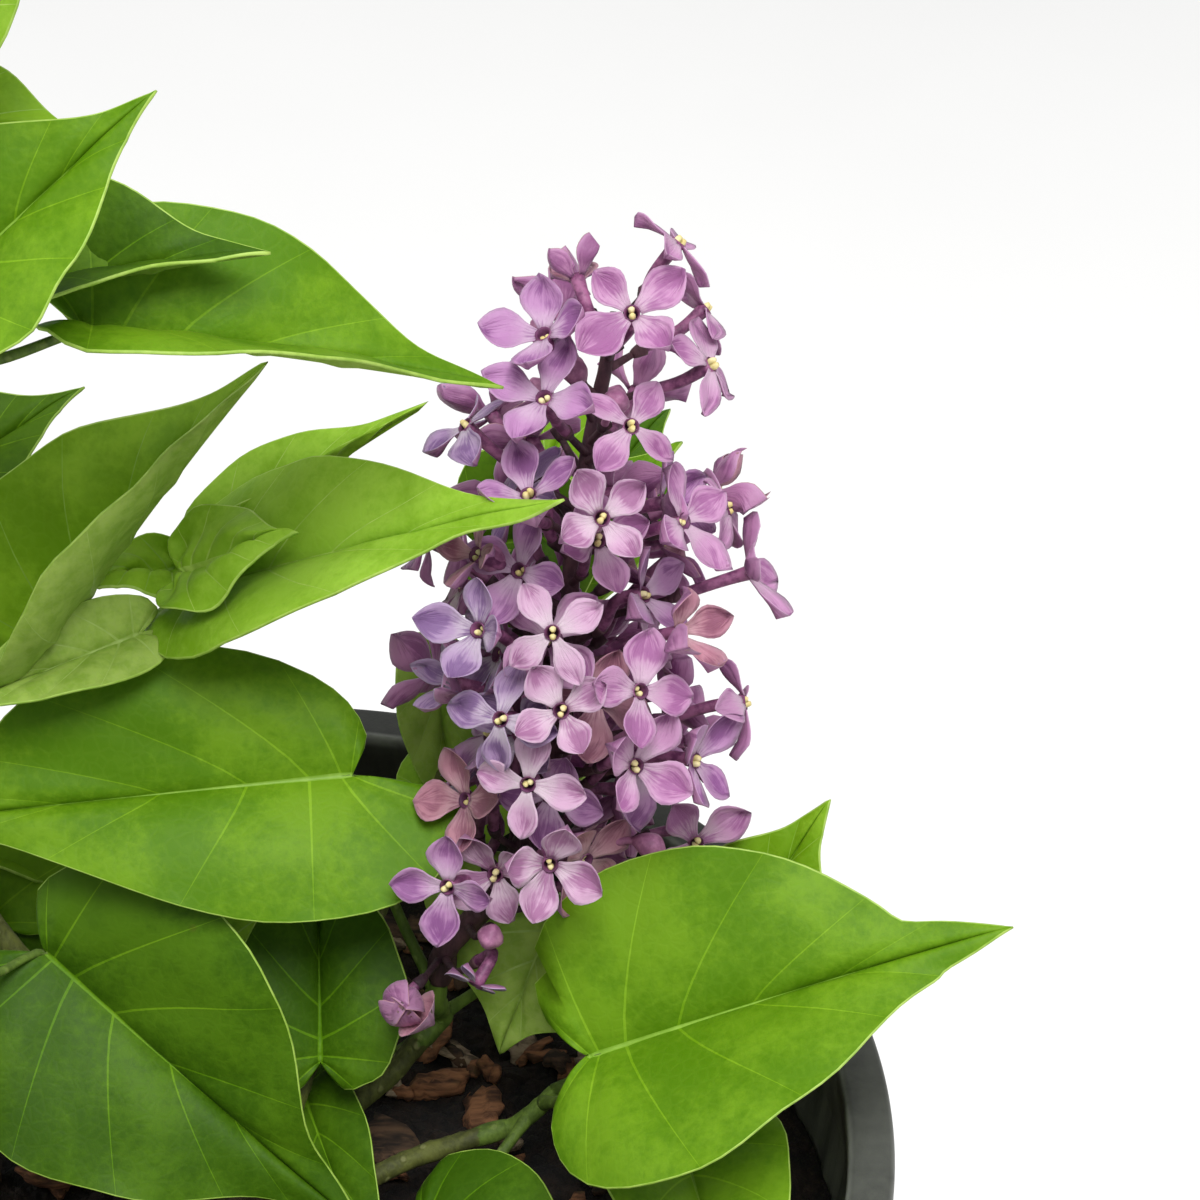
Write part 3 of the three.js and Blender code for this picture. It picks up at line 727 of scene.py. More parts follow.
for k in range(SMALL["chips"]):
    share = math.sqrt((k % SMALL["round"] + chance()) / SMALL["round"])
    length = mix(*SMALL["length"][::-1], (k / SMALL["chips"]) ** 0.5) * chance(*SMALL["spread"])
    distance = mix(SMALL["clear_trunk"] + length / 2, wall_side - length / 2, share)
    x, y, _ = heading(k * GOLDEN_ANGLE, 0) * distance
    size = (length, length * chance(*SMALL["slim"]), chance(*SMALL["thick"]))
    place = np.array([x, y, float(soil_level(x, y)) + chance(*SMALL["lift"])])
    tilt = [sway(chance, SMALL["tilt"]) for _ in range(2)]
    flake(size, tilt, chance(0, 360), place, int(chance(1, 3.999)), chance, rows=6, columns=5)
soil.piece("potting_mix", soil_finishes, "potting_mix", "soil")

# %% [markdown]
# ## Trunk and boughs
#
# A lilac this young has bark like thin grey-brown skin, still green underneath, with raised pale pores
# called lenticels and a ring of scars wherever a pair of leaves once stood. The limbs are tubes whose
# radius swells at those joints and is roughened all over. The pores are in the finish: small cells,
# stretched sideways, of which only the middles are kept.

# %% Finish: bark and green shoots
def bark_finish(name, dark, light, pore, pores):
    f = Finish(name)
    patches = f.noise(120, 4, 0.6)
    fibres = f.noise(1, 4, 0.65, f.stretched((900, 900, 160)))
    colour = f.blend(f.between(patches * 0.6 + fibres * 0.4, 0.38, 0.64), dark, light)
    spots = f.cells(1, "F1", f.stretched((420, 420, 300)))
    dot = (1 - f.between(spots, 0.12, 0.26)) * pores
    colour = f.blend(dot, colour, pore)
    return f.done(colour, 0.55 + 0.3 * patches, fibres + dot * 1.4 + patches * 0.5, 0.8, 0.35)


trunk_bark = bark_finish("trunk_bark", rgb(48, 40, 28), rgb(104, 92, 68), rgb(150, 138, 112), 0.8)
bough_bark = bark_finish("bough_bark", rgb(58, 62, 20), rgb(98, 104, 42), rgb(140, 142, 92), 0.45)
shoot_skin = bark_finish("shoot_skin", rgb(64, 86, 20), rgb(104, 130, 44), rgb(146, 158, 88), 0.25)
head_stalk = bark_finish("head_stalk", rgb(52, 26, 40), rgb(96, 62, 70), rgb(120, 84, 96), 0.3)
print("bark finishes:", [m.name for m in (trunk_bark, bough_bark, shoot_skin, head_stalk)])

# %% [markdown]
# The limbs are walked in the same order as in the solids: a trunk with its root flare, then a bough
# from inside the trunk to where its leaves begin. Every line below is the line of a solid.

# %% Grow the trunk and boughs
TRUNK = {
    "foot": 4.4, "top": 3.5, "flare": 3.4, "power": 6,
    "path": ((0, 0, 140.3), (0, 0, 146), (1, 1, 153), (2, 3, 161)),
    "buttresses": 5, "buttress": 0.06, "furrow": 0.035,
}
BOUGHS = {
    "left": ((2.4, 1.9), ((0, 1, 153), (-14, 10, 161), (-36, 22, 184), (-40, 24, 205), (-39, 18, 226))),
    "middle": ((2.2, 1.7), ((1, 2, 158), (-6, 12, 166), (-9, 24, 182), (-7, 33, 200))),
    "flower": ((2.4, 2.1), ((1, 1, 152), (9, 9, 155), (17, 15, 158), (22, 18, 163))),
    "right": ((2.1, 1.9), ((0.5, 0.5, 148), (9, 2, 148.5), (20, 8, 149.5), (30, 11, 151))),
    "front": ((2.3, 1.8), ((0, 0, 150), (-12, -8, 152), (-31, -17, 162), (-42, -12, 190))),
    "back": ((2.2, 1.8), ((3, 2, 158), (10, 22, 166), (21, 42, 180), (29, 57, 194))),
    "far_left": ((2.2, 1.7), ((0, 0, 147), (-16, 14, 152), (-36, 30, 168), (-46, 38, 190))),
    "low_back": ((2.0, 1.6), ((1, 1, 146), (2, 16, 148.5), (-8, 34, 152), (-14, 46, 157))),
    "near": ((2.0, 1.6), ((0, 0, 149), (4, -12, 152), (0, -26, 161), (-8, -36, 169))),
    "near_right": ((2.0, 1.6), ((0, 0, 146), (15, -11, 149), (30, -26, 156), (37, -38, 165))),
}
SLENDER = 0.68  # the solids are stouter than the living limbs, so that they hold together
RINGS_PER_MM = 1.5
bough_lines = {name: Line(*path) for name, (_, path) in BOUGHS.items()}


def knotted(low, high, length, seed, joint=14.0, swell=0.13, ring_width=1.4, beat=0.02, rough=0.05):
    """The radius of a woody limb: tapered, swollen at its leaf joints and rough all over."""
    bumps = waves(seed, count=12, shortest=1.2, longest=5)
    count = max(1, round(length / joint))

    def radius(along, angle):
        around = mix(low, high, along)
        ring = np.exp(-(((along * count) % 1 - 0.5) * length / count / ring_width) ** 2)
        slow = beat * np.cos(2 * math.pi * along * count)
        return around * (1 + swell * ring + slow + rough * bumps(angle * around, along * length))

    return radius


trunk_line = Line(*TRUNK["path"])
bumps = waves(seed=31, count=14, shortest=1.5, longest=7)


def trunk_radius(along, angle):
    """The trunk's taper and root flare, with shallow furrows that run up from the flare."""
    core = mix(TRUNK["foot"], TRUNK["top"], along) + TRUNK["flare"] * (1 - along) ** TRUNK["power"]
    buttress = TRUNK["buttress"] * (1 - along) ** 2 * np.cos(TRUNK["buttresses"] * angle + 1)
    furrows = TRUNK["furrow"] * bumps(angle * core, along * trunk_line.length * 0.5)
    return core * (1 + buttress + furrows)


trunk = Heap()
trunk.add(*tube(trunk_line, trunk_radius, sides=40, steps=48))
trunk.piece("trunk_with_bark", [trunk_bark], "bark", "trunk")
for seed, (name, ((low, high), _)) in enumerate(BOUGHS.items(), start=40):
    line = bough_lines[name]
    limb = Heap()
    radius = knotted(SLENDER * low, SLENDER * high, line.length, seed)
    limb.add(*tube(line, radius, sides=20, steps=int(line.length * RINGS_PER_MM)))
    limb.piece(f"bough_{name}_with_bark", [bough_bark], "bark", f"bough_{name}")

# %% [markdown]
# ## The leaf
#
# A lilac leaf is a heart with a long drawn-out tip. Its side veins leave the midrib low down and sweep
# forward, so the mesh is laid along them: every row of points starts on the midrib and ends on the
# margin, and the rows bunch up towards the stalk. Two rows lie close together wherever there is a vein,
# and the strip between them is the vein. The blade bulges a little between its veins, is folded along
# its midrib, bends over along its length, and has a narrow pale margin. All of it is geometry, so it
# holds up close to and in any light.

# %% The blade's own measures
OUTLINE = Line((0, 0), (-0.085, 0.15), (-0.05, 0.36), (0.22, 0.5), (0.5, 0.39), (0.78, 0.115), (1, 0))
BLADE = {
    "vein_power": 3.8,  # makes the side veins leave the midrib low down and sweep forward
    "sweep": 1.2,  # how much a side vein curves on its way
    "thick": 0.42,
    "veins": (0.2, 0.37, 0.53, 0.67, 0.785, 0.875),  # shares of the outline that they run towards
    "rows": (5, 5, 6, 6, 6, 6, 9),  # rows before, between and after the veins
    "columns": 8,
    "vein": (0.2, 0.03),  # half the width of a side vein, at the midrib and where it ends
    "rib": (0.42, 0.08),  # half the width of the midrib, at the stalk and at the tip
    "margin": 0.13,
    "dome": 0.03,  # the rise of each half of the blade, as a share of its width
    "bulge": 0.3,  # how far the blade rises between two veins
    "undulation": 0.42,  # the height of the slow waves in a blade 40 mm wide
    "nick": 0.005,  # the small unevenness of the margin, as a share of the width
    "nicks": (13, 23, 37),  # how closely its three waves follow each other
    "ripple": 0.022,  # the waves of the margin, as a share of the length
    "dent": 0.03,  # half the width of a dent in the margin, as a share of the outline
    "dent_to": 0.35,  # the share of the length that a dent draws the margin towards
    "lobe": 0.25,  # the share of the outline in which a basal lobe can be longer
    "near": 0.01,  # the rows at a vein are never further from it than this share of the outline
    "groove": (0.15, 0.06),  # how deep the midrib and the side veins lie in the face
    "keel": (0.75, 0.1),  # how far the midrib stands out beneath, at the stalk and at the tip
    "keel_half": 0.5,  # half the width of that keel
    "vein_keel": (0.16, 0.8),  # how far the side veins stand out beneath, and how far out they do
    "edge": 0.45,  # how much of the thickness is lost at the margin
}
LEAF_FINISHES = ("leaf_fresh", "leaf_bright", "leaf_deep", "leaf_young", "leaf_underside", "leaf_vein",
                 "leaf_margin", "underside_vein")
VEIN_FINISHES = {  # side veins and midrib are only a shade or two paler than the blade round them
    "leaf_deep": ("leaf_fresh", "leaf_fresh"), "leaf_fresh": ("leaf_bright", "leaf_vein"),
    "leaf_bright": ("leaf_vein", "leaf_vein"), "leaf_young": ("leaf_margin", "leaf_margin"),
    "leaf_underside": ("underside_vein", "underside_vein"),
}


def blade_axes(base, tip, roll):
    """Along the blade's chord, out to its left, and up from its face."""
    along = unit(tip - base)
    left = unit(np.array([-along[1], along[0], 0]))
    left = aim(left, np.cross(along, left), roll)
    return along, left, np.cross(along, left)


def blade_rows():
    """The rows from stalk to tip: where each starts, which way it leans, how far it is past its vein."""
    stops = (0, *BLADE["veins"], 1)
    starts, leans, phases = [], [], []
    for a, b, rows in zip(stops, stops[1:], BLADE["rows"]):
        shares = np.linspace(0, 1, rows)
        starts.extend(mix(a, b, shares))
        leans.extend([1 if a > 0 else 0, *[0] * (rows - 2), -1 if b < 1 else 0])
        phases.extend(shares)
    return np.array(starts), np.array(leans), np.array(phases)


ROW_START, ROW_LEAN, ROW_PHASE = blade_rows()
print("a blade has", len(ROW_START), "rows and", 2 * BLADE["columns"] + 3, "columns")

# %% [markdown]
# The next cell turns those measures into points. It works on the whole grid at once: `side` is -1 on
# the right half and 1 on the left, `out` runs from the midrib to the margin, and `row` runs from the
# stalk to the tip. The bend is an arc of a circle above the straight line from base to tip, which is
# how the solids bend, so both have the same reach. A leaf may also be curled: beyond some share of one
# half, the blade rolls up and over, so that its paler underside shows. A dent draws a short piece of
# the margin in, as where an insect has bitten.

# %% Lay out a blade
def blade_grid(leaf, length, phase):
    """Flat places of a blade's grid, and how far out each one lies."""
    width = leaf["width"]
    start = ROW_START ** BLADE["vein_power"] * length
    outline = OUTLINE.between(ROW_START)
    reach = np.hypot(outline[:, 0] * length - start, outline[:, 1] * width) + 1e-6
    rib_edge = np.minimum(mix(*BLADE["rib"], start / length) / reach, 0.4)
    margin_edge = 1 - np.minimum(BLADE["margin"] / reach, 0.3)
    inner = np.linspace(0, 1, BLADE["columns"])
    half = np.hstack([mix(rib_edge[:, None], margin_edge[:, None], inner), np.ones((len(start), 1))])
    out = np.hstack([half[:, ::-1], np.zeros((len(start), 1)), half])
    side = np.sign(np.arange(out.shape[1]) - out.shape[1] // 2) + 0 * out

    def spot(row):
        edge = OUTLINE.between(row.ravel()).reshape(*row.shape, 2)
        turns = 6 * phase * (2 + side)
        uneven = sum(np.sin(often * row + k * turns) for k, often in enumerate(BLADE["nicks"], 1))
        inwards = sum(deep * np.exp(-(((row - at) / BLADE["dent"]) ** 2)) * (side == dented)
                      for dented, at, deep in leaf["dents"])
        y = side * (edge[..., 1] + BLADE["nick"] * uneven * np.sin(math.pi * row)) * width
        heart = np.where(side > 0, *leaf["heart"]) * length
        lobe = heart * np.sin(math.pi * np.clip(row / BLADE["lobe"], 0, 1))
        margin = mix(edge[..., 0] * length + leaf["skew"] * y - lobe, BLADE["dent_to"] * length, inwards)
        foot = row ** BLADE["vein_power"] * length
        return np.array([mix(foot, margin, out ** BLADE["sweep"]), y * (1 - inwards) * out])

    row, near = ROW_START[:, None] + 0 * out, BLADE["near"]
    low, high = np.maximum(row - near, 0), np.minimum(row + near, 1)
    apart = np.hypot(*(spot(high) - spot(low))) / (high - low)  # millimetres for each share of the rows
    row = row + ROW_LEAN[:, None] * np.minimum(mix(*BLADE["vein"], out) / (apart + 1e-6), near)
    x, y = spot(row)
    return x, y, out, side, row


def curled(t, side, out, curl):
    """Rolls one side of the blade up from a share of its width. Gives the new places and the roll."""
    which, start, most = curl
    rolls = (side == which) & (out > start)
    angle = math.radians(most) * np.clip((out - start) / (1 - start), 0, 1)
    flat = t * (1 - start / np.maximum(out, start))
    radius = flat / np.maximum(angle, 1e-6)
    across = np.where(rolls, t - flat + radius * np.sin(angle), t)
    return across, np.where(rolls, radius * (1 - np.cos(angle)), 0), np.where(rolls, angle, 0)


# %% [markdown]
# A living blade is never smooth. It is puffed up between its veins, its margin waves, and a young one
# is still creased from the bud. A displacement map could do this, but the points are at hand already,
# so a few sines move them. The strips of the veins lie a little below the face and stand out beneath,
# where a lilac leaf really carries its veins.

# %% Relief, thickness and faces of a blade
def blade_relief(leaf, length, grid, draw):
    """How high each point stands over the plain folded blade: its bulges, its waves and its creases."""
    x, y, out, side, row = grid
    width = leaf["width"]
    arch = 4 * out * (1 - out)
    slow = waves(int(draw(1, 1e6)), count=6, shortest=9, longest=24)
    undulation = slow(x, y) * out * BLADE["undulation"] * width / 40
    bulge = BLADE["bulge"] * np.sin(math.pi * ROW_PHASE)[:, None] * arch**0.7
    dome = BLADE["dome"] * width * arch * np.sin(math.pi * np.clip(row, 0, 1)) ** 0.5
    phase = np.where(side > 0, draw(), draw())
    wave = np.sin(2 * math.pi * (1.6 * row + phase)) + 0.4 * np.sin(2 * math.pi * (3.7 * row + 2 * phase))
    ripple = BLADE["ripple"] * length * wave * out**3 * np.sin(math.pi * row) * (1 + leaf["crumple"] * 4)
    creases = leaf["crumple"] * width * 0.1 * np.sin(5 * row + 9 * phase) * np.sin(7 * out + phase)
    rib_groove, vein_groove = BLADE["groove"]
    grooves = rib_groove * (out == 0) + vein_groove * (ROW_LEAN != 0)[:, None] * (out < 1)
    return bulge + dome + undulation + ripple + creases - grooves


def blade_depth(y, out, row):
    """The thickness of a blade. Its midrib and its veins stand out beneath."""
    rib_keel = np.exp(-((np.abs(y) / BLADE["keel_half"]) ** 2)) * mix(*BLADE["keel"], row)
    proud, until = BLADE["vein_keel"]
    vein_keel = proud * (ROW_LEAN != 0)[:, None] * (out < until)
    return BLADE["thick"] * (1 - BLADE["edge"] * (out == 1)) + rib_keel + vein_keel


def add_blade(heap, leaf, finish, draw):
    """One leaf blade, closed all round, with its veins and its margin."""
    along, left, up = blade_axes(leaf["base"], leaf["tip"], leaf["roll"])
    bend = math.radians(max(leaf["droop"], 0.1))
    fold = math.radians(leaf["fold"])
    chord = np.linalg.norm(leaf["tip"] - leaf["base"])
    length = chord * bend / 2 / math.sin(bend / 2)
    grid = blade_grid(leaf, length, draw())
    x, y, out, side, row = grid
    across, rolled, angle = curled(np.abs(y), side, out, leaf["curl"])
    raised = rolled + blade_relief(leaf, length, grid, draw)
    depth = blade_depth(y, out, row)
    slope = bend * (0.5 - x / length)
    forward = (math.sin(bend / 2) - np.sin(slope)) * length / bend
    rise = (np.cos(slope) - math.cos(bend / 2)) * length / bend

    def stand(t, n):
        """Points at a distance t out along a half of the blade, and n above it."""
        wide = t * math.cos(fold) - n * math.sin(fold) * (side != 0)
        high = t * math.sin(fold) + n * math.cos(fold)
        return (leaf["base"] + (forward - high * np.sin(slope))[..., None] * along
                + (rise + high * np.cos(slope))[..., None] * up + (side * wide)[..., None] * left)

    upper = stand(across, raised)
    under = stand(across + depth * np.sin(angle), raised - depth * np.cos(angle))
    faces = sheet_faces(*x.shape, pinched=(0, -1))
    places = np.stack([0.5 + side * out / 2, row], axis=-1).reshape(-1, 2)
    heap.add_sheet(upper, under, faces, blade_finishes(finish, len(faces[2])), places)


def blade_finishes(finish, rim):
    """Which finish each face has: blade, vein or margin on the face, and the same beneath."""
    rows, half = len(ROW_START) - 1, BLADE["columns"] + 1
    number = {name: k for k, name in enumerate(LEAF_FINISHES)}
    paler, palest = (number[name] for name in VEIN_FINISHES[LEAF_FINISHES[finish]])
    upper = np.full((rows, 2 * half), finish)
    beneath = finish if finish == number["leaf_young"] else number["leaf_underside"]
    lower = np.full((rows, 2 * half), beneath)
    vein = (ROW_LEAN[:-1] == -1) & (ROW_LEAN[1:] == 1)
    upper[vein, 1:-1], lower[vein, 1:-1] = paler, number["underside_vein"]
    upper[:, half - 1:half + 1], lower[:, half - 1:half + 1] = palest, number["underside_vein"]
    upper[:, [0, -1]] = lower[:, [0, -1]] = number["leaf_margin"]
    return np.concatenate([upper.ravel(), lower.ravel(), np.full(rim, number["leaf_margin"])])


# %% [markdown]
# ## Leaf finishes
#
# The face of a leaf is smooth and a little glossy, with a net of fine veins that is lighter than the
# green between. Its underside is dull and greyer. The greens differ from leaf to leaf far more than
# within one, so three plain greens are dealt out over the leaves, with a yellower one for the young
# leaves at the tips. The greens also paint light and shade: the deep one is painted shade on leaves that
# lie low or under others, and the brighter ones are painted light on leaves high up in the light. A
# little light passes through a leaf, which a small subsurface weight gives.

# %% Finishes: leaf face, underside, veins and margin
LIGHT_THROUGH_LEAF = (0.5, 1.0, 0.2)


def leaf_face(name, dark, light, net_tint):
    f = Finish(name, **soft(0.1, LIGHT_THROUGH_LEAF), Specular_IOR_Level=0.15)
    tone = f.noise(60, 3)
    mottle = f.noise(700, 4, 0.7)
    islands = f.between(f.cells(620), 0.0, 0.2)
    colour = f.blend(f.between(tone * 0.7 + mottle * 0.3, 0.4, 0.6), dark, light)
    colour = f.blend(f.between(f.noise(95, 3), 0.52, 0.68) * 0.4, colour, dark)
    colour = f.blend((1 - islands) * 0.07, colour, net_tint)
    specks = (1 - f.between(f.cells(130, "F1"), 0.04, 0.1)) * f.between(f.noise(18, 2), 0.6, 0.68)
    colour = f.blend(specks * 0.8, colour, rgb(92, 66, 30))
    return f.done(colour, 0.48 + 0.14 * mottle, islands * 0.3 + mottle * 0.9, 0.4, 0.12)


def leaf_back(name, dark, light):
    f = Finish(name, **soft(0.12, LIGHT_THROUGH_LEAF), Specular_IOR_Level=0.25)
    mottle = f.noise(380, 4, 0.6)
    islands = f.between(f.cells(800), 0.0, 0.16)
    colour = f.blend(f.between(mottle, 0.35, 0.65), dark, light)
    colour = f.blend((1 - islands) * 0.12, colour, rgb(150, 168, 104))
    return f.done(colour, 0.6 + 0.1 * mottle, mottle + islands * 0.2, 0.5, 0.12)


leaf_finishes = [
    leaf_face("leaf_fresh", rgb(80, 122, 6), rgb(106, 146, 22), rgb(124, 162, 48)),
    leaf_face("leaf_bright", rgb(102, 144, 12), rgb(128, 168, 34), rgb(144, 180, 62)),
    # leaf_deep is also painted shade on leaves that lie low or under others.
    leaf_face("leaf_deep", rgb(54, 89, 4), rgb(76, 113, 12), rgb(94, 132, 30)),
    leaf_face("leaf_young", rgb(118, 160, 28), rgb(142, 182, 54), rgb(158, 194, 82)),
    leaf_back("leaf_underside", rgb(130, 160, 58), rgb(152, 178, 80)),
    mottled_finish("leaf_vein", rgb(118, 158, 38), rgb(134, 172, 56)),
    mottled_finish("leaf_margin", rgb(140, 176, 60), rgb(164, 194, 86)),
    mottled_finish("underside_vein", rgb(140, 168, 72), rgb(156, 182, 92)),
]
print("leaf finishes:", [m.name for m in leaf_finishes])

# %% [markdown]
# ## Where the leaves stand
#
# Lilac leaves stand in opposite pairs, each pair crossed at a right angle to the one below. Low down
# they have long level stalks and wide blades; near the tip they are small and steep. Some leaves have their
# own place instead, because the wind and the light have turned them. The tables hold both kinds. Most
# numbers are those of the solids. A few leaves are turned or moved a little against their solids, and
# some small ones are added, such as the low pairs and the tufts at the tips of the shoots.

# %% The shoots and their leaves
# Pairs on a bough: from where to where they stand, and how little they shrink on the way.
LOW = {"first": 0.5, "until": 0.92, "ageing": 0.3}


def leaf(at, base, tip, width, roll, fold=18, droop=15, skew=0, tone="fresh", curl=(1, 1, 0), crumple=0,
         heart=(0.03, 0.03), dents=()):
    """Where on the stem a leaf stands, the two ends of its blade, and its shape.

    A curl is the half that rolls up (1 left, -1 right), the share of its width where the roll starts
    and its degrees. A heart is the extra length of the left and the right basal lobe. A dent is the
    half it is in, its place on the outline and its depth.
    """
    return {
        "at": at, "base": np.array(base, float), "tip": np.array(tip, float), "width": width,
        "roll": roll, "fold": fold, "droop": droop, "skew": skew, "tone": tone, "curl": curl,
        "crumple": crumple, "heart": heart, "dents": dents,
    }


def pairs(seed, count, turn, length, sector, until, without=(), first=0.15, ageing=1.0):
    """A rule for leaves in pairs. The sector is the middle and the reach of the turns they may have."""
    return {"seed": seed, "count": count, "turn": turn, "length": length, "sector": sector, "until": until,
            "without": without, "first": first, "ageing": ageing}


def low_pairs(*rule):
    """Leaves that a bough still carries below its shoot. They stay wide and level."""
    return pairs(*rule, **LOW)


# A placed leaf's tone also paints its light: deep for leaves in the shade of others, brighter greens for
# leaves in the light.
SHOOTS = {
    "left": {
        "radii": (1.8, 1.1), "path": ((-38, 14, 250), (-37, 11, 280), (-36, 8, 305), (-36, 6, 318)),
        "leaves": [
            leaf(0.55, (-12, 15, 277), (34, 22, 264), 31, 8, 38, 6),
            leaf(0.6, (-24, 20, 277), (9, 18, 285), 27, 8, 38, 10, tone="deep"),
            leaf(0.68, (-26, 4, 287), (-1, 13, 308), 26, 35, 20, 10),
            leaf(0.85, (-30, 16, 312), (-8, 24, 330), 26, 45, 25, 10, tone="young"),
            leaf(0.8, (-32.2, 24, 299.6), (-8.3, 22, 295.8), 16, 30, 12, 8, tone="bright"),
            leaf(1, (-34, 4, 326), (-6, -4, 344), 22, 20, 30, 10),
            leaf(0.12, (-41, 45, 231), (-20, 55, 241), 20, 20, 20, 10, tone="deep"),
        ],
        "pairs": [pairs(21, 6, 150, 46, (190, 80), 1, (0, 1))],
        "low_pairs": [low_pairs(22, 4, 160, 50, (195, 75))],
    },
    "middle": {
        "radii": (1.6, 1.1), "path": ((-7, 36, 211), (-7, 38, 222)),
        "leaves": [
            leaf(0.9, (-5, 34, 225), (41, 14, 254), 26, 25, 18, 8, tone="young"),
            leaf(0.9, (-4, 41, 226), (24, 45, 246), 15, 5, 30, 8, tone="young", curl=(-1, 0.4, 100)),
            leaf(0.6, (-24, 30, 218), (6, 32, 261), 35, 25, 38, 8, tone="bright", curl=(-1, 0.35, 80)),
            leaf(0.8, (-12, 29, 222), (-38, 14, 220), 13, -30, 30, 8, tone="underside"),
            leaf(1, (-6, 31, 230), (9, 24, 242), 15, 25, 10, 18, tone="young", crumple=0.45),
            leaf(1, (-8, 38, 225), (-19, 30, 229), 10, -10, 30, 8, tone="bright", crumple=0.7),
        ],
    },
    "flower": {
        "radii": (2, 1.7), "path": ((23.5, 17, 170), (24.5, 17, 176)),
        "leaves": [
            leaf(0.7, (14, 22, 205), (-46, 17, 201), 37, -42, 12, 10, -0.55, heart=(0.12, 0)),
            leaf(0.2, (40, 20, 186), (31.9, 11.1, 166), 34, -12, 14, 8, tone="underside"),
            leaf(0.5, (9, 8, 168), (8, 34, 188), 24, 0, tone="deep"),
            leaf(0.1, (5.4, 13.3, 158), (18.7, -20.8, 150), 14, 10, tone="deep"),
        ],
    },
    "right": {
        "radii": (1.8, 1.3), "path": ((36, 12, 154), (39, 14, 156)),
        "leaves": [
            leaf(0.8, (43.8, -2.2, 179.7), (95, 0, 200), 44, 29, 24, 12, 0.07,
                 heart=(0, 0.01), dents=((1, 0.285, 0.1), (1, 0.84, 0.05), (-1, 0.9, 0.05))),
            leaf(1, (62, 17, 178), (74, 23, 200), 22, 30, tone="bright"),
            leaf(0.9, (55, 0, 164), (62, -40, 165), 26, 0),
            leaf(0.6, (22, -5, 152), (46, -28, 158), 26, 10, tone="deep"),
            leaf(0.75, (50, 23, 157), (62, 41, 160), 15, 0, 20, 12),
        ],
    },
    "front": {
        "radii": (1.8, 1.4), "path": ((-44, -8, 206), (-52, -14, 222)),
        "leaves": [leaf(0.3, (-25.4, 12.8, 183), (14.8, -9, 155.5), 44, 50, 16, 10, tone="deep")],
        "pairs": [pairs(31, 4, 200, 46, (215, 90), 0.5)],
        "low_pairs": [low_pairs(32, 4, 215, 50, (215, 65))],
    },
    "back": {
        "radii": (1.7, 1.3), "path": ((31, 61, 203),),
        "leaves": [
            leaf(0.2, (23, 54, 198.5), (25.3, 42, 173.5), 14, 15, 40, 8, tone="underside"),
            leaf(0.9, (29, 60, 212), (50, 62, 214), 28, 60, tone="deep"),
        ],
        "pairs": [pairs(41, 4, 60, 38, (80, 50), 0.8)],
        "low_pairs": [low_pairs(42, 3, 50, 42, (50, 30))],
    },
    "far_left": {
        "radii": (1.8, 1.4), "path": ((-52, 44, 206), (-56, 48, 222)),
        "pairs": [pairs(51, 5, 120, 50, (140, 110), 0.6)],
        "low_pairs": [low_pairs(52, 5, 140, 50, (150, 80))],
    },
    "low_back": {
        "radii": (1.6, 1.0), "path": ((-17, 54, 163), (-18, 58, 168)),
        "pairs": [pairs(81, 4, 110, 36, (170, 85), 0.6)],
        "low_pairs": [low_pairs(82, 5, 120, 46, (150, 80))],
    },
    "near": {
        "radii": (1.6, 1.0), "path": ((-12, -44, 174), (-14, -50, 182)),
        "pairs": [pairs(61, 5, 215, 46, (260, 95), 0.9)],
        "low_pairs": [low_pairs(62, 3, 240, 46, (265, 80))],
    },
    "near_right": {
        "radii": (1.6, 1.0), "path": ((43, -46, 171), (46, -52, 177)),
        "pairs": [pairs(91, 5, 330, 42, (290, 95), 0.9)],
        "low_pairs": [low_pairs(92, 3, 285, 42, (290, 55))],
    },
}
print("leaves with their own place:", sum(len(shoot.get("leaves", ())) for shoot in SHOOTS.values()))

# %% [markdown]
# The rule for the pairs has two values for most measures, one for the foot of a shoot and one for its
# tip, and every leaf takes what lies between. A leaf that would leave the sector of its shoot is left
# out, because it would grow into a neighbour.

# %% Leaves in pairs
# Paired leaves near a shoot's tip take the bright green: partly the yellower green of young leaves, partly
# painted light on the top of the plant.
PAIR = {
    "stalk_length": (17, 7), "stalk_rise": (25, 60), "size": (1, 0.45), "blade_rise": (0, 48),
    "slim": 0.7, "turn": 14, "twist": 12, "rise": 8, "roll": 16, "size_spread": (0.9, 1.08),
    "fold": (12, 30), "droop": (10, 34), "tones": ("fresh", "deep", "bright", "fresh"), "bright_from": 0.75,
}
shoot_lines = {name: onwards(bough_lines[name], shoot["path"]) for name, shoot in SHOOTS.items()}


def paired_leaves(line, rule):
    """Leaves in crossed pairs: wide and level low on the shoot, small and steep at its tip."""
    draw = seeded(rule["seed"])
    middle, reach = rule["sector"]
    leaves = []
    for k in range(2 * rule["count"]):
        at = mix(rule["first"], rule["until"], k // 2 / (rule["count"] - 1))
        facing = rule["turn"] + 90 * (k // 2) + 180 * (k % 2) + sway(draw, PAIR["turn"])
        age = at * rule["ageing"]
        stalk = heading(facing, mix(*PAIR["stalk_rise"], age)) * mix(*PAIR["stalk_length"], age)
        size = rule["length"] * mix(*PAIR["size"], age) * draw(*PAIR["size_spread"])
        base = line.at(at) + stalk
        turn = facing + sway(draw, PAIR["twist"])
        rise = mix(*PAIR["blade_rise"], age) + sway(draw, PAIR["rise"])
        roll, fold, droop = sway(draw, PAIR["roll"]), draw(*PAIR["fold"]), draw(*PAIR["droop"])
        inside = math.cos(math.radians(facing - middle)) > math.cos(math.radians(reach))
        if inside and k not in rule["without"]:
            tone = PAIR["tones"][(k + rule["seed"]) % 4] if age < PAIR["bright_from"] else "bright"
            tip = base + heading(turn, rise) * size
            leaves.append(leaf(at, base, tip, PAIR["slim"] * size, roll, fold, droop, tone=tone))
    return leaves


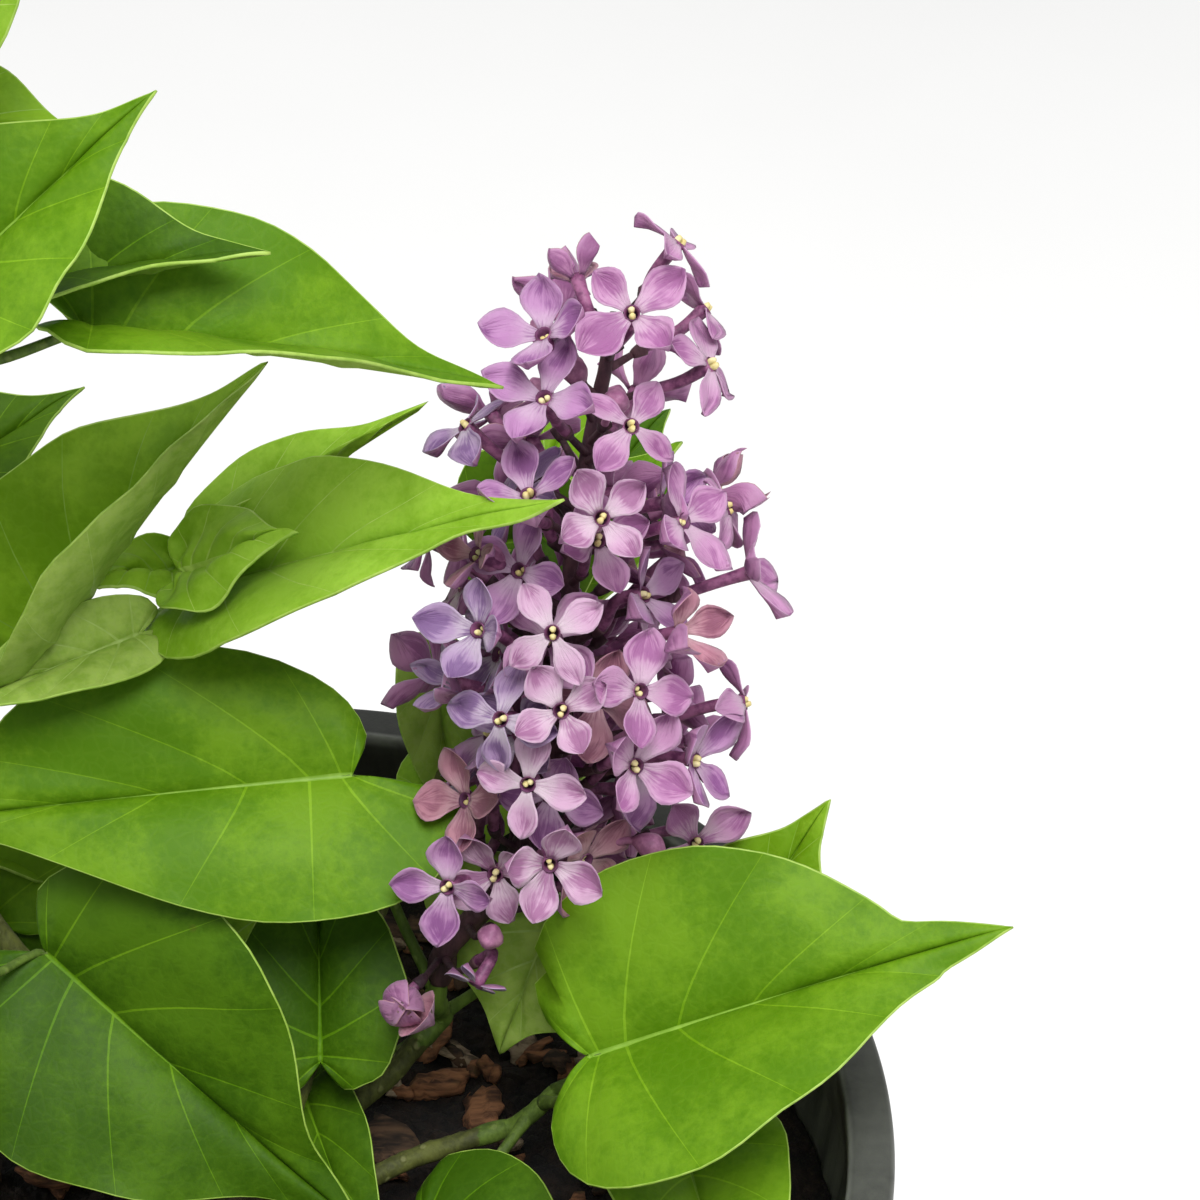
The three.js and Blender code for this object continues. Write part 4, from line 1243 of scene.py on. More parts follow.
# %% [markdown]
# ## Grow the shoots
#
# Each shoot becomes two pieces: its green wood (the stem and all leaf stalks) and its blades. They are
# kept apart because they have different finishes and a user may want to repaint only one. A shoot
# without flowers ends in a tuft of four tiny folded leaves, unless it has young leaves of its own there.

# %% Stems, stalks and blades
STALK = {
    "radii": (0.85, 0.5), "bend": 0.55, "sag": 0.12, "under": 0.65, "sunk": 2.5,
    "full": 22,  # a blade at least this wide has a stalk of full thickness
    "foot": (0.35, 0.06),  # how much its foot swells, and over which share of its length
}
TUFT = {
    "lengths": (11, 14, 7, 9), "turn": 35, "stalk": 1.6, "stalk_rise": 40, "rise": (58, 76), "slim": 0.42,
    "fold": 52, "droop": 25,
}
COLLAR = {
    "half": 2.2, "onto": 4.5,  # millimetres to each side of the joint, and to a point on the new stem
    "core": 0.9, "swell": 0.28, "scars": 0.04,  # shares of the stem's radius
    "shown": 0.75,  # the share of its line that it covers
}
LEAFY_TIPS = ("middle", "right")  # the shoots that end in young leaves of their own
STEM_ROUGHNESS = 0.04


def add_stalk(heap, start, one):
    """A leaf stalk that sags a little and runs on under the blade as its midrib."""
    along, _, up = blade_axes(one["base"], one["tip"], one["roll"])
    notch = one["base"] - STALK["under"] * up
    middle = mix(start, notch, STALK["bend"]) - [0, 0, STALK["sag"] * np.linalg.norm(notch - start)]
    line = Line(start, middle, notch, notch + STALK["sunk"] * along)
    share = min(1, one["width"] / STALK["full"])
    foot, end = (share * radius for radius in STALK["radii"])
    swell, over = STALK["foot"]

    def radius(along, angle):
        return mix(foot, end, along) * (1 + swell * np.exp(-((along / over) ** 2)) + 0 * angle)

    heap.add(*tube(line, radius, sides=10, steps=18))


def tuft(line):
    """Four young leaves folded together at a shoot's growing tip."""
    made = []
    for k, length in enumerate(TUFT["lengths"]):
        turn = TUFT["turn"] + 90 * (k // 2) + 180 * (k % 2)
        base = line.at(1.0) + heading(turn, TUFT["stalk_rise"]) * TUFT["stalk"]
        tip = base + heading(turn, TUFT["rise"][k // 2]) * length
        made.append(leaf(1, base, tip, TUFT["slim"] * length, 0, TUFT["fold"], TUFT["droop"], tone="young"))
    return made


def leaf_joints(leaves, length, swell=0.22, reach=1.6):
    """How much a stem swells where its leaf stalks leave it."""
    shares = np.array(sorted({round(one["at"], 3) for one in leaves}))

    def swelling(along):
        return 1 + swell * np.exp(-(((shares - along) * length / reach) ** 2)).max()

    return swelling


def add_collar(heap, before, line, radius):
    """The ring of a bud scar, which covers the joint where one year's growth ends and the next begins."""
    joint, way = before.at(1.0), before.ahead(1.0)
    half, onto = COLLAR["half"] * way, line.at(min(0.5, COLLAR["onto"] / line.length))
    ring = Line(joint - half, joint, joint + half, onto)

    def swelling(along, angle):
        core = COLLAR["core"] + COLLAR["swell"] * math.sin(math.pi * along) ** 0.7
        return radius * (core + COLLAR["scars"] * np.cos(5 * angle))

    heap.add(*tube(ring, swelling, sides=16, steps=12, end=COLLAR["shown"]))


def grow_shoot(name, shoot, seed):
    """The green wood and the blades of one shoot."""
    line = shoot_lines[name]
    leaves = list(shoot.get("leaves", ()))
    for rule in shoot.get("pairs", ()):
        leaves += paired_leaves(line, rule)
    if name not in HEADS and name not in LEAFY_TIPS:
        leaves += tuft(line)
    low_leaves = []
    for rule in shoot.get("low_pairs", ()):
        low_leaves += paired_leaves(bough_lines[name], rule)
    swelling = leaf_joints(leaves, line.length)
    grain = waves(seed, count=10, shortest=1.2, longest=6)
    low, high = SLENDER * np.array(shoot["radii"])
    wood, blades = Heap(), Heap()

    def radius(along, angle):
        core = mix(low, high, along) * swelling(along)
        return core * (1 + STEM_ROUGHNESS * grain(angle * core, along * line.length))

    wood.add(*tube(line, radius, sides=16, steps=max(24, int(line.length * RINGS_PER_MM))))
    add_collar(wood, bough_lines[name], line, low)
    draw = seeded(seed)
    for stem, grown in ((line, leaves), (bough_lines[name], low_leaves)):
        for one in grown:
            add_stalk(wood, stem.at(one["at"]), one)
            add_blade(blades, one, LEAF_FINISHES.index("leaf_" + one["tone"]), draw)
    wood.piece(f"stalks_{name}", [shoot_skin], "bark")
    blades.piece(f"leaves_{name}_blades", leaf_finishes, "foliage", f"leaves_{name}")
    return len(leaves) + len(low_leaves)


# %% [markdown]
# ## The flower heads
#
# A lilac head is a cone of small florets on side stalks. Each floret is a slender purple tube that opens
# into four spoon-shaped petals, with a dark mouth and two pale anthers just inside it. At the front of
# the first head the florets have their own places; the others wind round the head by the golden angle,
# which is how plants space their parts. A second, deeper layer fills the gaps between them, so that the
# head is as dense as a real one.

# %% Heads, and where their florets open
def floret(height, turn, spin, extra=0.0, form="flat", tint="pink", face=None, lift=None, shift=(0, 0, 0),
           size=1.0):
    """How high up the head, its turn about it (0 front, 90 right) and about itself, and how it looks."""
    return {
        "height": height, "turn": turn, "spin": spin, "extra": extra, "form": form, "tint": tint,
        "face": turn if face is None else face, "lift": lift, "shift": shift, "size": size,
        "depth": 1.0,  # the share of the way out to the head's surface
    }


FRONT_FLORETS = [
    floret(104, 40, 40, form="bent", face=100, lift=62, shift=(-0.5, 0, 0.3), size=0.85),
    floret(98, -45, 30, form="withered", tint="faded", face=-150, lift=40, shift=(1, 0, 0), size=0.7),
    floret(96, 2, 48, face=-12, lift=35),
    floret(91, -46, 50, form="fresh", tint="lilac"),
    floret(90, 65, 20, form="bent"),
    floret(84, -33, 15, tint="lilac"),
    floret(83, 10, 40, form="bent"),
    floret(77, -76, 0, form="bent", tint="blue"),
    floret(72, 42, 85),
    floret(73, -27, 60, form="fresh", tint="lilac", face=-30, lift=50),
    floret(72, 4, 30, form="fresh", tint="pale"),
    floret(71, 88, 10, 1, form="bent"),
    floret(62, 85, 40, 3.5),
    floret(64, -56, 30, form="withered", tint="faded", size=0.75, shift=(3, 0, 0)),
    floret(57, -36, 20, form="fresh", tint="blue"),
    floret(58, -7, 45, form="bent", tint="pale"),
    floret(57, 44, 0, form="withered", tint="faded"),
    floret(51, 26, 70),
    floret(49, -3, 35, form="fresh", tint="pale"),
    floret(47, -25, 10, form="bent", tint="blue"),
    floret(46, 82, 55, 3, form="bent"),
    floret(46, -75, 20, form="withered", tint="blue", shift=(5, 0, 0), size=0.85),
    floret(42, 56, 20, form="fresh", tint="lilac"),
    floret(43, 25, 45, form="fresh"),
    floret(40, -14, 0, form="bent", tint="pale"),
    floret(31, 86, 30, 3, face=15, shift=(-2, -3, 0)),
    floret(31, 0, 75, form="fresh", tint="pale"),
    floret(22, -36, 15, tint="lilac"),
    floret(5, -40, 50, form="opening", tint="faded", face=-18, lift=40, shift=(0.3, -1, -6.5)),
    floret(17, -12, 20, form="bud"),
    floret(10, -6, 10, form="bent", tint="blue", size=0.62, lift=-50),
]
HEADS = {
    "flower": {
        "path": ((33, 19, 190), (40, 24, 212), (42, 33, 236), (46, 41, 256), (49, 46, 270)),
        "radii": (1.6, 0.8), "mouths": 19.5, "front": FRONT_FLORETS, "seed": 71, "florets": 28,
        "highest": 0.93,
    },
    "front": {
        "path": ((-64, -24, 240), (-73, -30, 264), (-79, -34, 288)),
        "radii": (1.5, 0.8), "mouths": 16, "front": [], "seed": 72, "florets": 26, "highest": 1.04,
    },
    "far_left": {
        "path": ((-64, 58, 240), (-72, 66, 266), (-77, 71, 290)),
        "radii": (1.5, 0.8), "mouths": 17, "front": [], "seed": 73, "florets": 26, "highest": 1.04,
    },
}
HEAD = {
    "swell": (0.2, 0.7, 0.7),  # its outline: where on a sine wave it starts, how far it goes, its power
    "lift": (5, 55),  # how far the florets face upwards, at the foot of the head and at its top
    "lowest": 0.18, "twist": 12,
    "front_edge": -0.15,  # florets by rule stay behind this where the front ones have their own places
    "drop": 9, "bare": 0.02, "last_stalk": 0.88,  # a side stalk starts lower down, between these shares
    "stem_top": 0.9, "stem_roughness": 0.06,
    "deep_florets": 36, "deep_turn": 70, "deep": (0.42, 0.72), "deepest_top": 0.72,
    "buds": 12, "bud_heights": (0.15, 0.95), "bud_turns": (97, 40), "bud_depth": (0.7, 0.95),
    "bud_length": (4, 6), "own_bud_length": 3,
    "looks_seed": 500, "petals_seed": 900,  # added to a head's own seed
}
AGES = ((0.3, "flat"), (0.62, "fresh"), (0.88, "bent"), (1, "withered"))
TINTS = ((0.5, "pink"), (0.8, "lilac"), (0.93, "pale"), (1, "faded"))
SIDES = {"from": 0.25, "blue": 0.4, "faded": 0.7}  # where a side starts, and its own shares of tints
head_lines = {name: onwards(shoot_lines[name], head["path"]) for name, head in HEADS.items()}
print("heads:", {name: round(line.length) for name, line in head_lines.items()}, "mm long")


# %% [markdown]
# A floret's place is worked out along the head's own line: so far up, so far round and so far out.
# Chance then picks its age and its tint from two tables of limits. The step from one limit to the next
# is the share of the florets that get that entry.

# %% Place the florets
def placed(line, head, one):
    """Where a floret opens, where its stalk starts and which way it faces."""
    share = one["height"] / line.length
    axis = line.ahead(min(share, 1))
    centre = line.at(min(share, 1)) + axis * max(one["height"] - line.length, 0)
    forward = unit(np.array([0, -1, 0]) + axis * axis[1])
    sideways = np.cross(axis, forward)
    start, wave, power = HEAD["swell"]
    reach = one["extra"] + head["mouths"] * math.sin(math.pi * (start + wave * share)) ** power
    lift = mix(*HEAD["lift"], min(share, 1) ** 2) if one["lift"] is None else one["lift"]
    mouth = centre + aim(forward, sideways, one["turn"]) * reach * one["depth"] + one["shift"]
    foot = line.at(min(max(share - HEAD["drop"] / line.length, HEAD["bare"]), HEAD["last_stalk"]))
    facing = aim(aim(forward, sideways, one["face"]), axis, lift)
    return {**one, "mouth": mouth, "foot": foot, "facing": facing}


def pick(table, luck):
    """The first entry of a table whose limit lies above the luck."""
    return next(entry for limit, entry in table if luck < limit)


def form_and_tint(turn, draw):
    """Chance gives a floret its age and tint: more bluish ones on the left, more faded on the right."""
    luck, tint = draw(), draw()
    form, rightwards = pick(AGES, luck), math.sin(math.radians(turn))
    if form == "withered":
        return form, "faded"
    if rightwards < -SIDES["from"] and tint < SIDES["blue"]:
        return form, "blue"
    if rightwards > SIDES["from"] and tint > SIDES["faded"]:
        return form, "faded"
    return form, pick(TINTS, tint)


def floret_places(name):
    """The florets of the solid first, then the deeper layer between them."""
    head, line = HEADS[name], head_lines[name]
    draw, looks = seeded(head["seed"]), seeded(head["seed"] + HEAD["looks_seed"])
    florets = list(head["front"])
    for k in range(head["florets"]):
        height = mix(HEAD["lowest"], head["highest"], (k + 0.5) / head["florets"]) * line.length
        turn = k * GOLDEN_ANGLE + sway(draw, HEAD["twist"])
        spin = 90 * draw()
        form, tint = form_and_tint(turn, looks)
        taken = head["front"] and math.cos(math.radians(turn)) > HEAD["front_edge"]
        if not taken:
            florets.append(floret(height, turn, spin, form=form, tint=tint))
    for k in range(HEAD["deep_florets"]):
        height = mix(HEAD["lowest"], HEAD["deepest_top"], (k + 0.5) / HEAD["deep_florets"]) * line.length
        turn = HEAD["deep_turn"] + k * GOLDEN_ANGLE + sway(draw, HEAD["twist"])
        form, tint = form_and_tint(turn, looks)
        deeper = floret(height, turn, 90 * draw(), form=form, tint=tint)
        deeper["depth"] = draw(*HEAD["deep"])
        florets.append(deeper)
    return [placed(line, head, one) for one in florets]


# %% [markdown]
# The petals have a family of tints, from pink to a bluish lilac, and fade to a dull brownish pink as
# they age. Along the petal's own flat map each finish goes from a pale foot to a deeper, clouded hollow
# and ends in a pale rim, with fine lengthwise veins. The hollow is darkened a little more than its clouds
# give, which is painted shade, and the pale rim is a painted highlight. The veins also drive the bump,
# because a petal is slightly ribbed along them.

# %% Finishes: petals, throat, tube, anthers and buds
LIGHT_THROUGH_PETAL = (1.0, 0.6, 1.0)
# The hollow colour is mostly the petal's own clouding with some painted shade; the rim colour is a painted
# highlight.
PETAL_COLOURS = {  # at the foot, in the middle, in the clouded hollow and at the rim
    "petal_pink": ((198, 167, 189), (188, 138, 177), (150, 90, 141), (194, 153, 185)),
    "petal_lilac": ((192, 163, 188), (175, 127, 172), (128, 74, 130), (184, 145, 180)),
    "petal_pale": ((206, 184, 198), (195, 156, 185), (152, 99, 140), (201, 170, 193)),
    "petal_blue": ((190, 174, 192), (163, 134, 172), (116, 83, 132), (176, 154, 186)),
    "petal_faded": ((192, 150, 160), (180, 126, 142), (136, 82, 104), (188, 140, 154)),
    "petal_reverse": ((170, 120, 156), (168, 114, 154), (130, 76, 120), (184, 136, 174)),
}
SMALL_PARTS = {  # the darker and the lighter colour, and the roughness
    # The throat's darker purple is painted shade inside the floret's mouth.
    "floret_throat_painted_shade": ((74, 28, 64), (112, 58, 98), 0.6),
    "floret_tube": ((96, 42, 82), (152, 90, 130), 0.5),
    "anthers": ((214, 196, 126), (236, 224, 172), 0.7),
    "bud_skin": ((146, 88, 126), (184, 124, 160), 0.5),
}


def petal_finish(name, foot, middle, deep, rim):
    f = Finish(name, **soft(0.12, LIGHT_THROUGH_PETAL), Specular_IOR_Level=0.4, Sheen_Weight=0.08)
    place = f.node("UVMap", {"uv_map": "place"}, {}, "UV")
    across, along, _ = f.apart(place)
    from_middle = abs_of(across - 0.5)
    streaks = f.noise(1, 3, 0.6, f.stretched((14, 2, 1), place))
    mottle = f.noise(260, 4, 0.65)
    # Painted shade: the cupped middle of the petal is darkened a little more.
    painted_hollow_shade = (1 - f.between(from_middle, 0.1, 0.42)) * f.between(along, 0.3, 0.6)
    cloud = f.noise(300, 2) * 0.5 + f.noise(75, 2) * 0.35 + streaks * 0.4 + painted_hollow_shade * 0.1
    colour = f.blend(f.between(along + 0.5 * mottle - 0.25, 0.05, 0.5), foot, middle)
    colour = f.blend(f.between(cloud, 0.6, 0.76) * 0.9, colour, deep)
    # Painted highlight: a paler rim along the two sides, where the curled edges catch the light.
    colour = f.blend(f.between(from_middle, 0.42, 0.5) * 0.6, colour, rim)
    return f.done(colour, 0.5 + 0.14 * mottle, streaks + 0.8 * mottle, 0.7, 0.3)


blossom_finishes = []
for name, colours in PETAL_COLOURS.items():
    blossom_finishes.append(petal_finish(name, *(rgb(*colour) for colour in colours)))
for name, (dark, light, roughness) in SMALL_PARTS.items():
    part = mottled_finish(name, rgb(*dark), rgb(*light), (700, 4, 0.6), roughness, 0.4, 0.12)
    blossom_finishes.append(part)
BLOSSOM = {material.name: k for k, material in enumerate(blossom_finishes)}
print("blossom finishes:", list(BLOSSOM))

# %% [markdown]
# A petal is laid out like a leaf: rows from its narrow foot to its round tip, each running out to the
# edge. It is then cupped, hooded at the tip and raised or bent back as a whole. The tube and its mouth
# are one run of rings that goes up the outside, over the lip and back down inside, so the mouth is a
# real hole.

# %% Petals
PETAL = {
    "edge": Line((0, 0.8), (1.2, 1.4), (2.5, 2.4), (3.8, 2.66), (5.05, 1.92), (5.95, 0.86), (6.4, 0)),
    "start": 0.85, "length": 6.4, "thick": 0.2, "rows": 11, "columns": 9,
    "groove": (0.12, 0.18),  # depth and half the width of the furrow along its middle
    "sunk": 0.15,  # how far its foot lies below the mouth
    "rim": 0.4,  # how much of the thickness is lost at the edge
}
VARIETY = {  # how much one petal differs from the next
    "size": (0.88, 1.07), "width": (0.86, 1.06), "open": 13, "twist": 18, "cup": (0.5, 1.25),
    "hood": (0.2, 1.6), "turn": 5,
}


def petal_grid():
    """Flat places of a petal's grid: how far along and across, and the same as shares."""
    row = np.linspace(0, 1, PETAL["rows"])
    out = np.linspace(-1, 1, PETAL["columns"])
    edge = PETAL["edge"].between(row)
    middle = row**0.95 * PETAL["length"]
    x = middle[:, None] + (edge[:, :1] - middle[:, None]) * np.abs(out) ** 1.6
    places = np.stack([0.5 + out / 2 + 0 * row[:, None], row[:, None] + 0 * out], axis=-1)
    return x, edge[:, 1:2] * out, row[:, None], out, places.reshape(-1, 2)


PETAL_X, PETAL_Y, PETAL_ROW, PETAL_OUT, PETAL_PLACES = petal_grid()
PETAL_FACES = sheet_faces(PETAL["rows"], PETAL["columns"], pinched=(-1,))


def add_petal(heap, mouth, facing, out, form, tone, grown, draw):
    """One petal, which leaves the mouth in the direction out."""
    side = np.cross(facing, out)
    size = draw(*VARIETY["size"]) * form["size"] * grown
    x, y = PETAL_X * size, PETAL_Y * size * form["slim"] * draw(*VARIETY["width"])
    share = x / PETAL["length"]
    raised = math.radians(form["open"] + sway(draw, VARIETY["open"]))
    twist = math.radians(sway(draw, VARIETY["twist"]))
    cup = form["cup"] * grown * np.abs(PETAL_OUT) ** 2.2 * np.clip(share * 1.6, 0, 1)
    cup = cup * draw(*VARIETY["cup"])
    hood = form["hood"] * draw(*VARIETY["hood"]) * grown * np.clip(share - 0.45, 0, 1) ** 2 * 3
    lengthwise, crosswise = np.sin(5 * share + 6 * draw()), np.sin(2.5 * PETAL_OUT + 6 * draw())
    crumple = form["crumple"] * lengthwise * crosswise * share
    deep, half = PETAL["groove"]
    groove = deep * np.exp(-((PETAL_OUT / half) ** 2)) * (1 - share)
    lift = cup + hood + crumple - groove + y * math.sin(twist)
    far = PETAL["start"] + x * math.cos(raised) - lift * math.sin(raised)
    high = x * math.sin(raised) + lift * math.cos(raised) - PETAL["sunk"] * (1 - PETAL_ROW)
    sideways = y * math.cos(twist)
    upper = mouth + far[..., None] * out + sideways[..., None] * side + high[..., None] * facing
    normal = facing * math.cos(raised) - out * math.sin(raised)
    thick = PETAL["thick"] * (1 - PETAL["rim"] * (np.abs(PETAL_OUT) == 1)) + 0 * x
    under = upper - thick[..., None] * normal
    top, bottom, rim = PETAL_FACES
    finishes = np.repeat([tone, BLOSSOM["petal_reverse"], tone], [len(top), len(bottom), len(rim)])
    heap.add_sheet(upper, under, PETAL_FACES, finishes, PETAL_PLACES)


# %% [markdown]
# Now a whole floret. Its age sets its form: fresh ones are flat and slightly cupped, older ones bend
# their petals back, withered ones crumple and lose colour, and a few have not opened yet and are buds.

# %% Forms, tubes and side stalks
TUBE = {
    "length": 10, "radius": 0.8, "mouth": 1.0, "sides": 12, "steps": 10,
    "foot": 0.85, "flare": 7,  # how slim it starts, and how late it widens
}
THROAT = ((0.86, 0.08), (0.7, 0.6), (0.55, 1.5), (0.3, 2.2))  # share of the mouth's radius, depth below
FORMS = {
    "fresh": {"open": 16, "cup": 1.6, "hood": 0.7, "crumple": 0.4, "size": 1.0, "slim": 1.0},
    "flat": {"open": 3, "cup": 1.3, "hood": 0.4, "crumple": 0.5, "size": 1.04, "slim": 1.0},
    "bent": {"open": -18, "cup": 1.1, "hood": -0.8, "crumple": 0.75, "size": 1.0, "slim": 0.84},
    "withered": {"open": 26, "cup": 2.1, "hood": 1.2, "crumple": 1.3, "size": 0.95, "slim": 0.9},
    "opening": {"open": 50, "cup": 2.6, "hood": 2.2, "crumple": 0.1, "size": 1.0, "slim": 1.2},
}
SIDE_STALK = {
    "radii": (0.6, 0.42), "middle": 0.45, "sag": 0.06, "least": 0.12,
    "straight": (4.5, 0.35),  # it ends straight for this long, or for this share of the way
    "cup": (0.5, 0.42), "cup_half": 0.9, "cup_ribs": 0.08,
}
ANTHER = {
    "length": 1.4, "thick": 0.42, "seams": 0.03, "out": (0.26, 0.42), "lean": 0.1, "turn": (40, 25),
    "high": 0.7,  # the share of florets whose anthers sit just inside the mouth
    "sunk": ((0.75, 1.05), (1.5, 2.0)),  # how deep they sit in these florets and in the others
    "uneven": 0.15,
}
BUD = {"tube": 4, "neck": 0.5, "knob": 1.15, "knob_from": 0.45, "corners": 0.07, "pointed": 0.6}


def stalk_line(place):
    """From the foot on the head's stem out to the mouth, which it meets straight on."""
    foot, mouth, facing = place["foot"], place["mouth"], place["facing"]
    far = mouth - foot
    bow = mix(foot, mouth, SIDE_STALK["middle"]) - [0, 0, SIDE_STALK["sag"] * far[2]]
    most, share = SIDE_STALK["straight"]
    return Line(foot, bow, mouth - facing * min(most, share * np.linalg.norm(far)), mouth)


def add_stem(stalks, line, length):
    """The side stalk with a small cup where the flower tube starts. Gives the share where that is."""
    start = max(SIDE_STALK["least"], 1 - length / line.length)
    stalks.add(*tube(line, taper(*SIDE_STALK["radii"]), sides=8, steps=10, end=start))
    low, more = SIDE_STALK["cup"]

    def cup(along, angle):
        return (low + more * along**0.6) * (1 + SIDE_STALK["cup_ribs"] * along * np.cos(4 * angle))

    half = SIDE_STALK["cup_half"] / line.length
    stalks.add(*tube(line, cup, sides=10, steps=5, start=start - half, end=start + half))
    return start


def anther_radius(along, angle):
    plump = math.sin(math.pi * mix(0.12, 0.86, along)) ** 0.6
    return ANTHER["thick"] * plump + ANTHER["seams"] * np.cos(3 * angle)


# %% [markdown]
# The stalk, the cup, the tube and the petals of a floret all hang on one line from the head's stem to
# the mouth, so nothing comes apart when a floret is moved. A bud is the same line with a knob at its end.

# %% Put florets and buds together
def add_floret(blossom, stalks, place, draw):
    """Side stalk, tube with an open mouth, four petals and two anthers."""
    mouth, facing = place["mouth"], unit(place["facing"])
    form, tone = FORMS[place["form"]], BLOSSOM["petal_" + place["tint"]]
    line = stalk_line(place)
    start = add_stem(stalks, line, TUBE["length"])

    def radius(along, angle):
        flare = (TUBE["mouth"] - TUBE["radius"]) * along ** TUBE["flare"]
        return TUBE["radius"] * mix(TUBE["foot"], 1, along) + flare + 0 * angle

    rings = rings_along(line, radius, TUBE["sides"], TUBE["steps"], start=start)
    lip = rings[-1]
    for share, depth in THROAT:
        rings.append(mouth + (lip - mouth) * share - facing * depth)
    rows = [BLOSSOM["floret_tube"]] * TUBE["steps"] + [BLOSSOM["floret_throat_painted_shade"]] * len(THROAT)
    finishes = np.repeat([rows[0], *rows, rows[-1]], TUBE["sides"])
    blossom.add(*loft(rings), finishes)
    across = unit(np.cross([0.1, 0, 1], facing))
    upright = np.cross(facing, across)
    for petal in range(4):
        out = aim(across, upright, place["spin"] + 90 * petal + sway(draw, VARIETY["turn"]))
        add_petal(blossom, mouth, facing, out, form, tone, place["size"], draw)
    shallow, deep = ANTHER["sunk"]
    sunk = draw(*(shallow if draw() < ANTHER["high"] else deep))
    turn, most = ANTHER["turn"]
    for side in (-1, 1):
        out = aim(across, upright, place["spin"] + turn + sway(draw, most)) * side
        low = mouth + draw(*ANTHER["out"]) * out - facing * (sunk + sway(draw, ANTHER["uneven"]))
        top = low + facing * ANTHER["length"]
        anther = Line(low, mix(low, top, 0.5) + ANTHER["lean"] * out, top)
        blossom.add(*tube(anther, anther_radius, sides=8, steps=6), BLOSSOM["anthers"])


def add_bud(blossom, stalks, place, length):
    """A closed floret: a slender tube with a four-sided knob."""
    line = stalk_line(place)
    start = add_stem(stalks, line, length + BUD["tube"])

    def radius(along, angle):
        knob = np.clip((along - BUD["knob_from"]) / (1 - BUD["knob_from"]), 0, 1)
        round_part = math.sin(math.pi * min(1, knob * 0.93) ** 1.2) ** 0.8 * (knob > 0)
        corners = 1 + BUD["corners"] * (knob > 0) * np.cos(4 * angle)
        return (BUD["neck"] + BUD["knob"] * round_part) * corners * (1 - BUD["pointed"] * knob**6)

    blossom.add(*tube(line, radius, sides=16, steps=18, start=start), BLOSSOM["bud_skin"])


# %% [markdown]
# With the parts at hand, a head is grown in one go. Buds stand between the florets.

# %% Grow the heads
def grow_head(name, head):
    """One head: its stem and side stalks, and its blossom."""
    line = head_lines[name]
    low, high = head["radii"]
    stalks, blossom = Heap(), Heap()
    grain = waves(head["seed"], count=8, shortest=1, longest=4)

    def radius(along, angle):
        core = mix(low, high, along)
        return core * (1 + HEAD["stem_roughness"] * grain(angle * core, along * line.length))

    stalks.add(*tube(line, radius, sides=14, steps=60, end=HEAD["stem_top"]))
    add_collar(stalks, shoot_lines[name], line, low)
    draw = seeded(head["seed"] + HEAD["petals_seed"])
    places = floret_places(name)
    for place in places:
        if place["form"] == "bud":
            add_bud(blossom, stalks, place, HEAD["own_bud_length"])
        else:
            add_floret(blossom, stalks, place, draw)
    apart, spread = HEAD["bud_turns"]
    for k in range(HEAD["buds"]):
        bud = floret(mix(*HEAD["bud_heights"], draw()) * line.length, k * apart + draw(0, spread), 0)
        bud["depth"] = draw(*HEAD["bud_depth"])
        add_bud(blossom, stalks, placed(line, head, bud), draw(*HEAD["bud_length"]))
    stalks.piece(f"stalks_of_head_{name}", [head_stalk], "bark")
    blossom.piece(f"flowers_{name}_blossom", blossom_finishes, "blossom", f"flowers_{name}")
    return len(places)


for seed, (name, shoot) in enumerate(SHOOTS.items(), start=201):
    print(name, "has", grow_shoot(name, shoot, seed), "leaves")
for name, head in HEADS.items():
    print(name, "has", grow_head(name, head), "florets")

# %% [markdown]
# ## Floor, light and camera
#
# The plant stands on a plain pale floor, which lies a hair below the pot so that the two faces don't
# fight. An even white sky gives the soft shadowless fill of a studio. It is one colour and not a
# picture of a room, because nothing on this plant is glossy enough to mirror one.

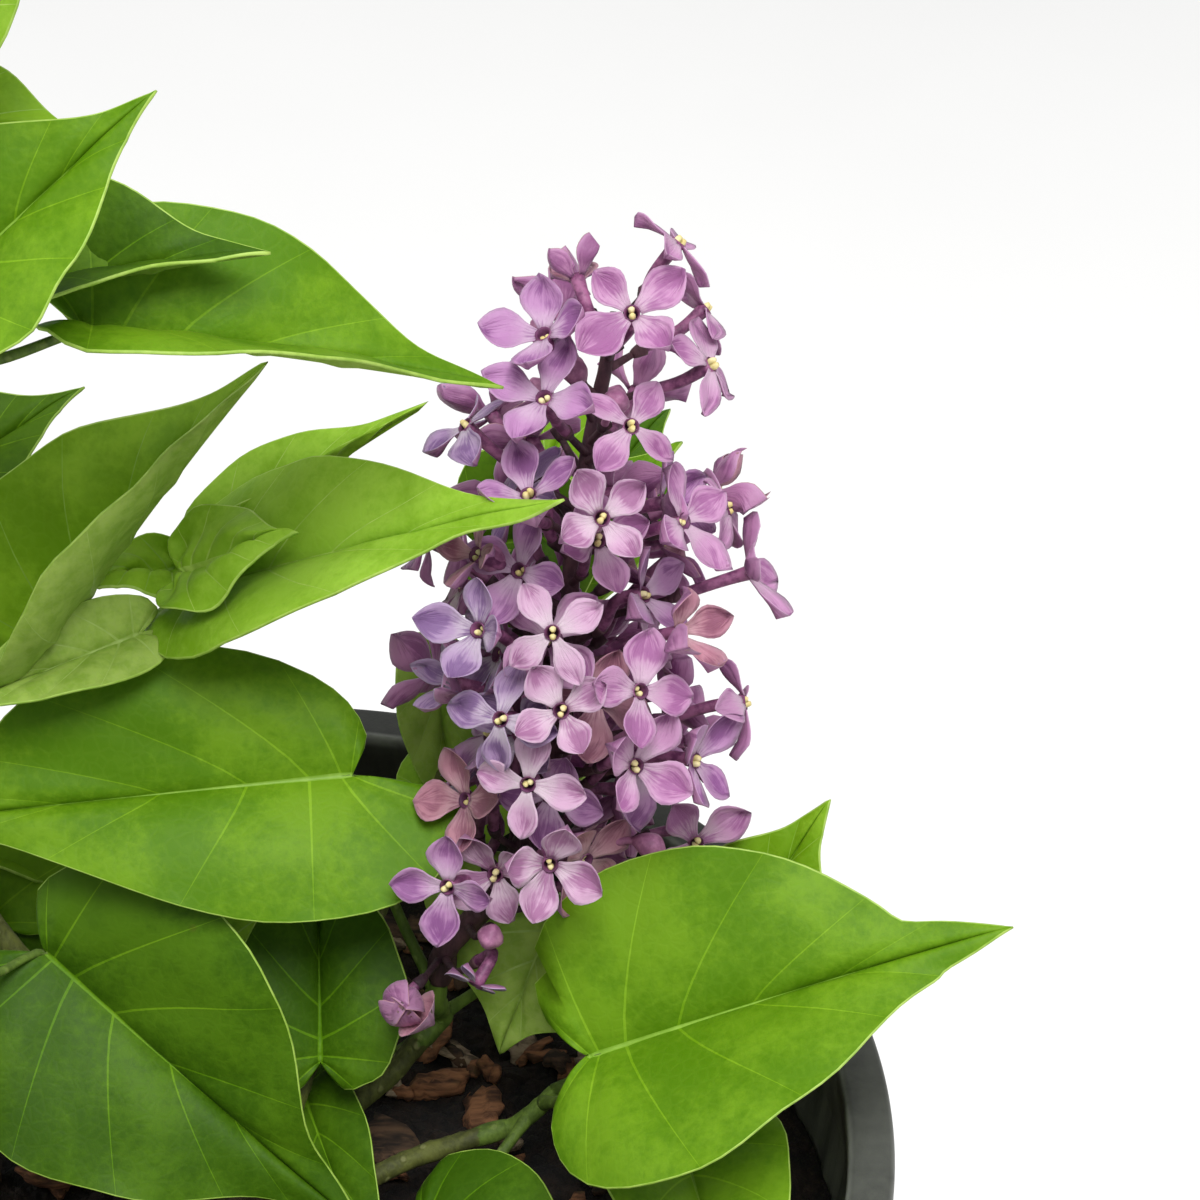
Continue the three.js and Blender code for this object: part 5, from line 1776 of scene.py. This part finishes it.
# %% Floor and sky
def floor_finish():
    f = Finish("pale_floor")
    cloud = f.noise(6, 3)
    return f.done(f.blend(cloud, rgb(244, 244, 243), rgb(250, 250, 249)), 0.75 + 0.1 * cloud)


FLOOR = {"half": 2.0, "below": 0.0002}
floor_mesh = bpy.data.meshes.new("floor")
h, z = FLOOR["half"], -FLOOR["below"]
floor_mesh.from_pydata([(-h, -h, z), (h, -h, z), (h, h, z), (-h, h, z)], [], [(0, 1, 2, 3)])
floor_mesh.materials.append(floor_finish())
floor = add_object("floor", floor_mesh)

SKY_STRENGTH = 0.5
sky = bpy.data.worlds.new("studio_sky")
sky.use_nodes = True
background = sky.node_tree.nodes["Background"]
background.inputs["Color"].default_value = (1, 1, 1, 1)
background.inputs["Strength"].default_value = SKY_STRENGTH
bpy.context.scene.world = sky
print("floor:", 2 * FLOOR["half"], "m wide; sky strength:", SKY_STRENGTH)

# %% [markdown]
# One large lamp high above the plant, a little to the right, gives the leaves their shape, and a weaker
# one from the left opens their shadows. Both are area lamps, because their soft edges suit leaves that
# shade each other. The camera looks steeply down through a long lens, which keeps near and far leaves
# in proportion. The plain view transform keeps the greens as bright and clean as they were chosen.

# %% Lamps and camera
LAMPS = {
    "key": {"at": (0.15, -0.45, 1.35), "size": 0.6, "power": 16.5},
    "fill": {"at": (-0.9, -0.1, 0.8), "size": 0.9, "power": 4},
}
LAMP_TARGET = Vector((0, 0, 0.18))  # the middle of the plant
CAMERA = {"at": (0.045, -0.290, 0.483), "down": 51.3, "lens": 100}

for name, lamp in LAMPS.items():
    data = bpy.data.lights.new(name, "AREA")
    data.size, data.energy = lamp["size"], lamp["power"]
    made = add_object(name, data)
    made.location = lamp["at"]
    towards = LAMP_TARGET - made.location
    made.rotation_euler = towards.to_track_quat("-Z", "Y").to_euler()

camera = add_object("camera", bpy.data.cameras.new("camera"))
camera.data.lens = CAMERA["lens"]
camera.location = CAMERA["at"]
camera.rotation_euler = (math.radians(CAMERA["down"]), 0, 0)
bpy.context.scene.camera = camera
bpy.context.scene.view_settings.view_transform = "Standard"
print("lamps:", list(LAMPS), "camera lens:", CAMERA["lens"], "mm")
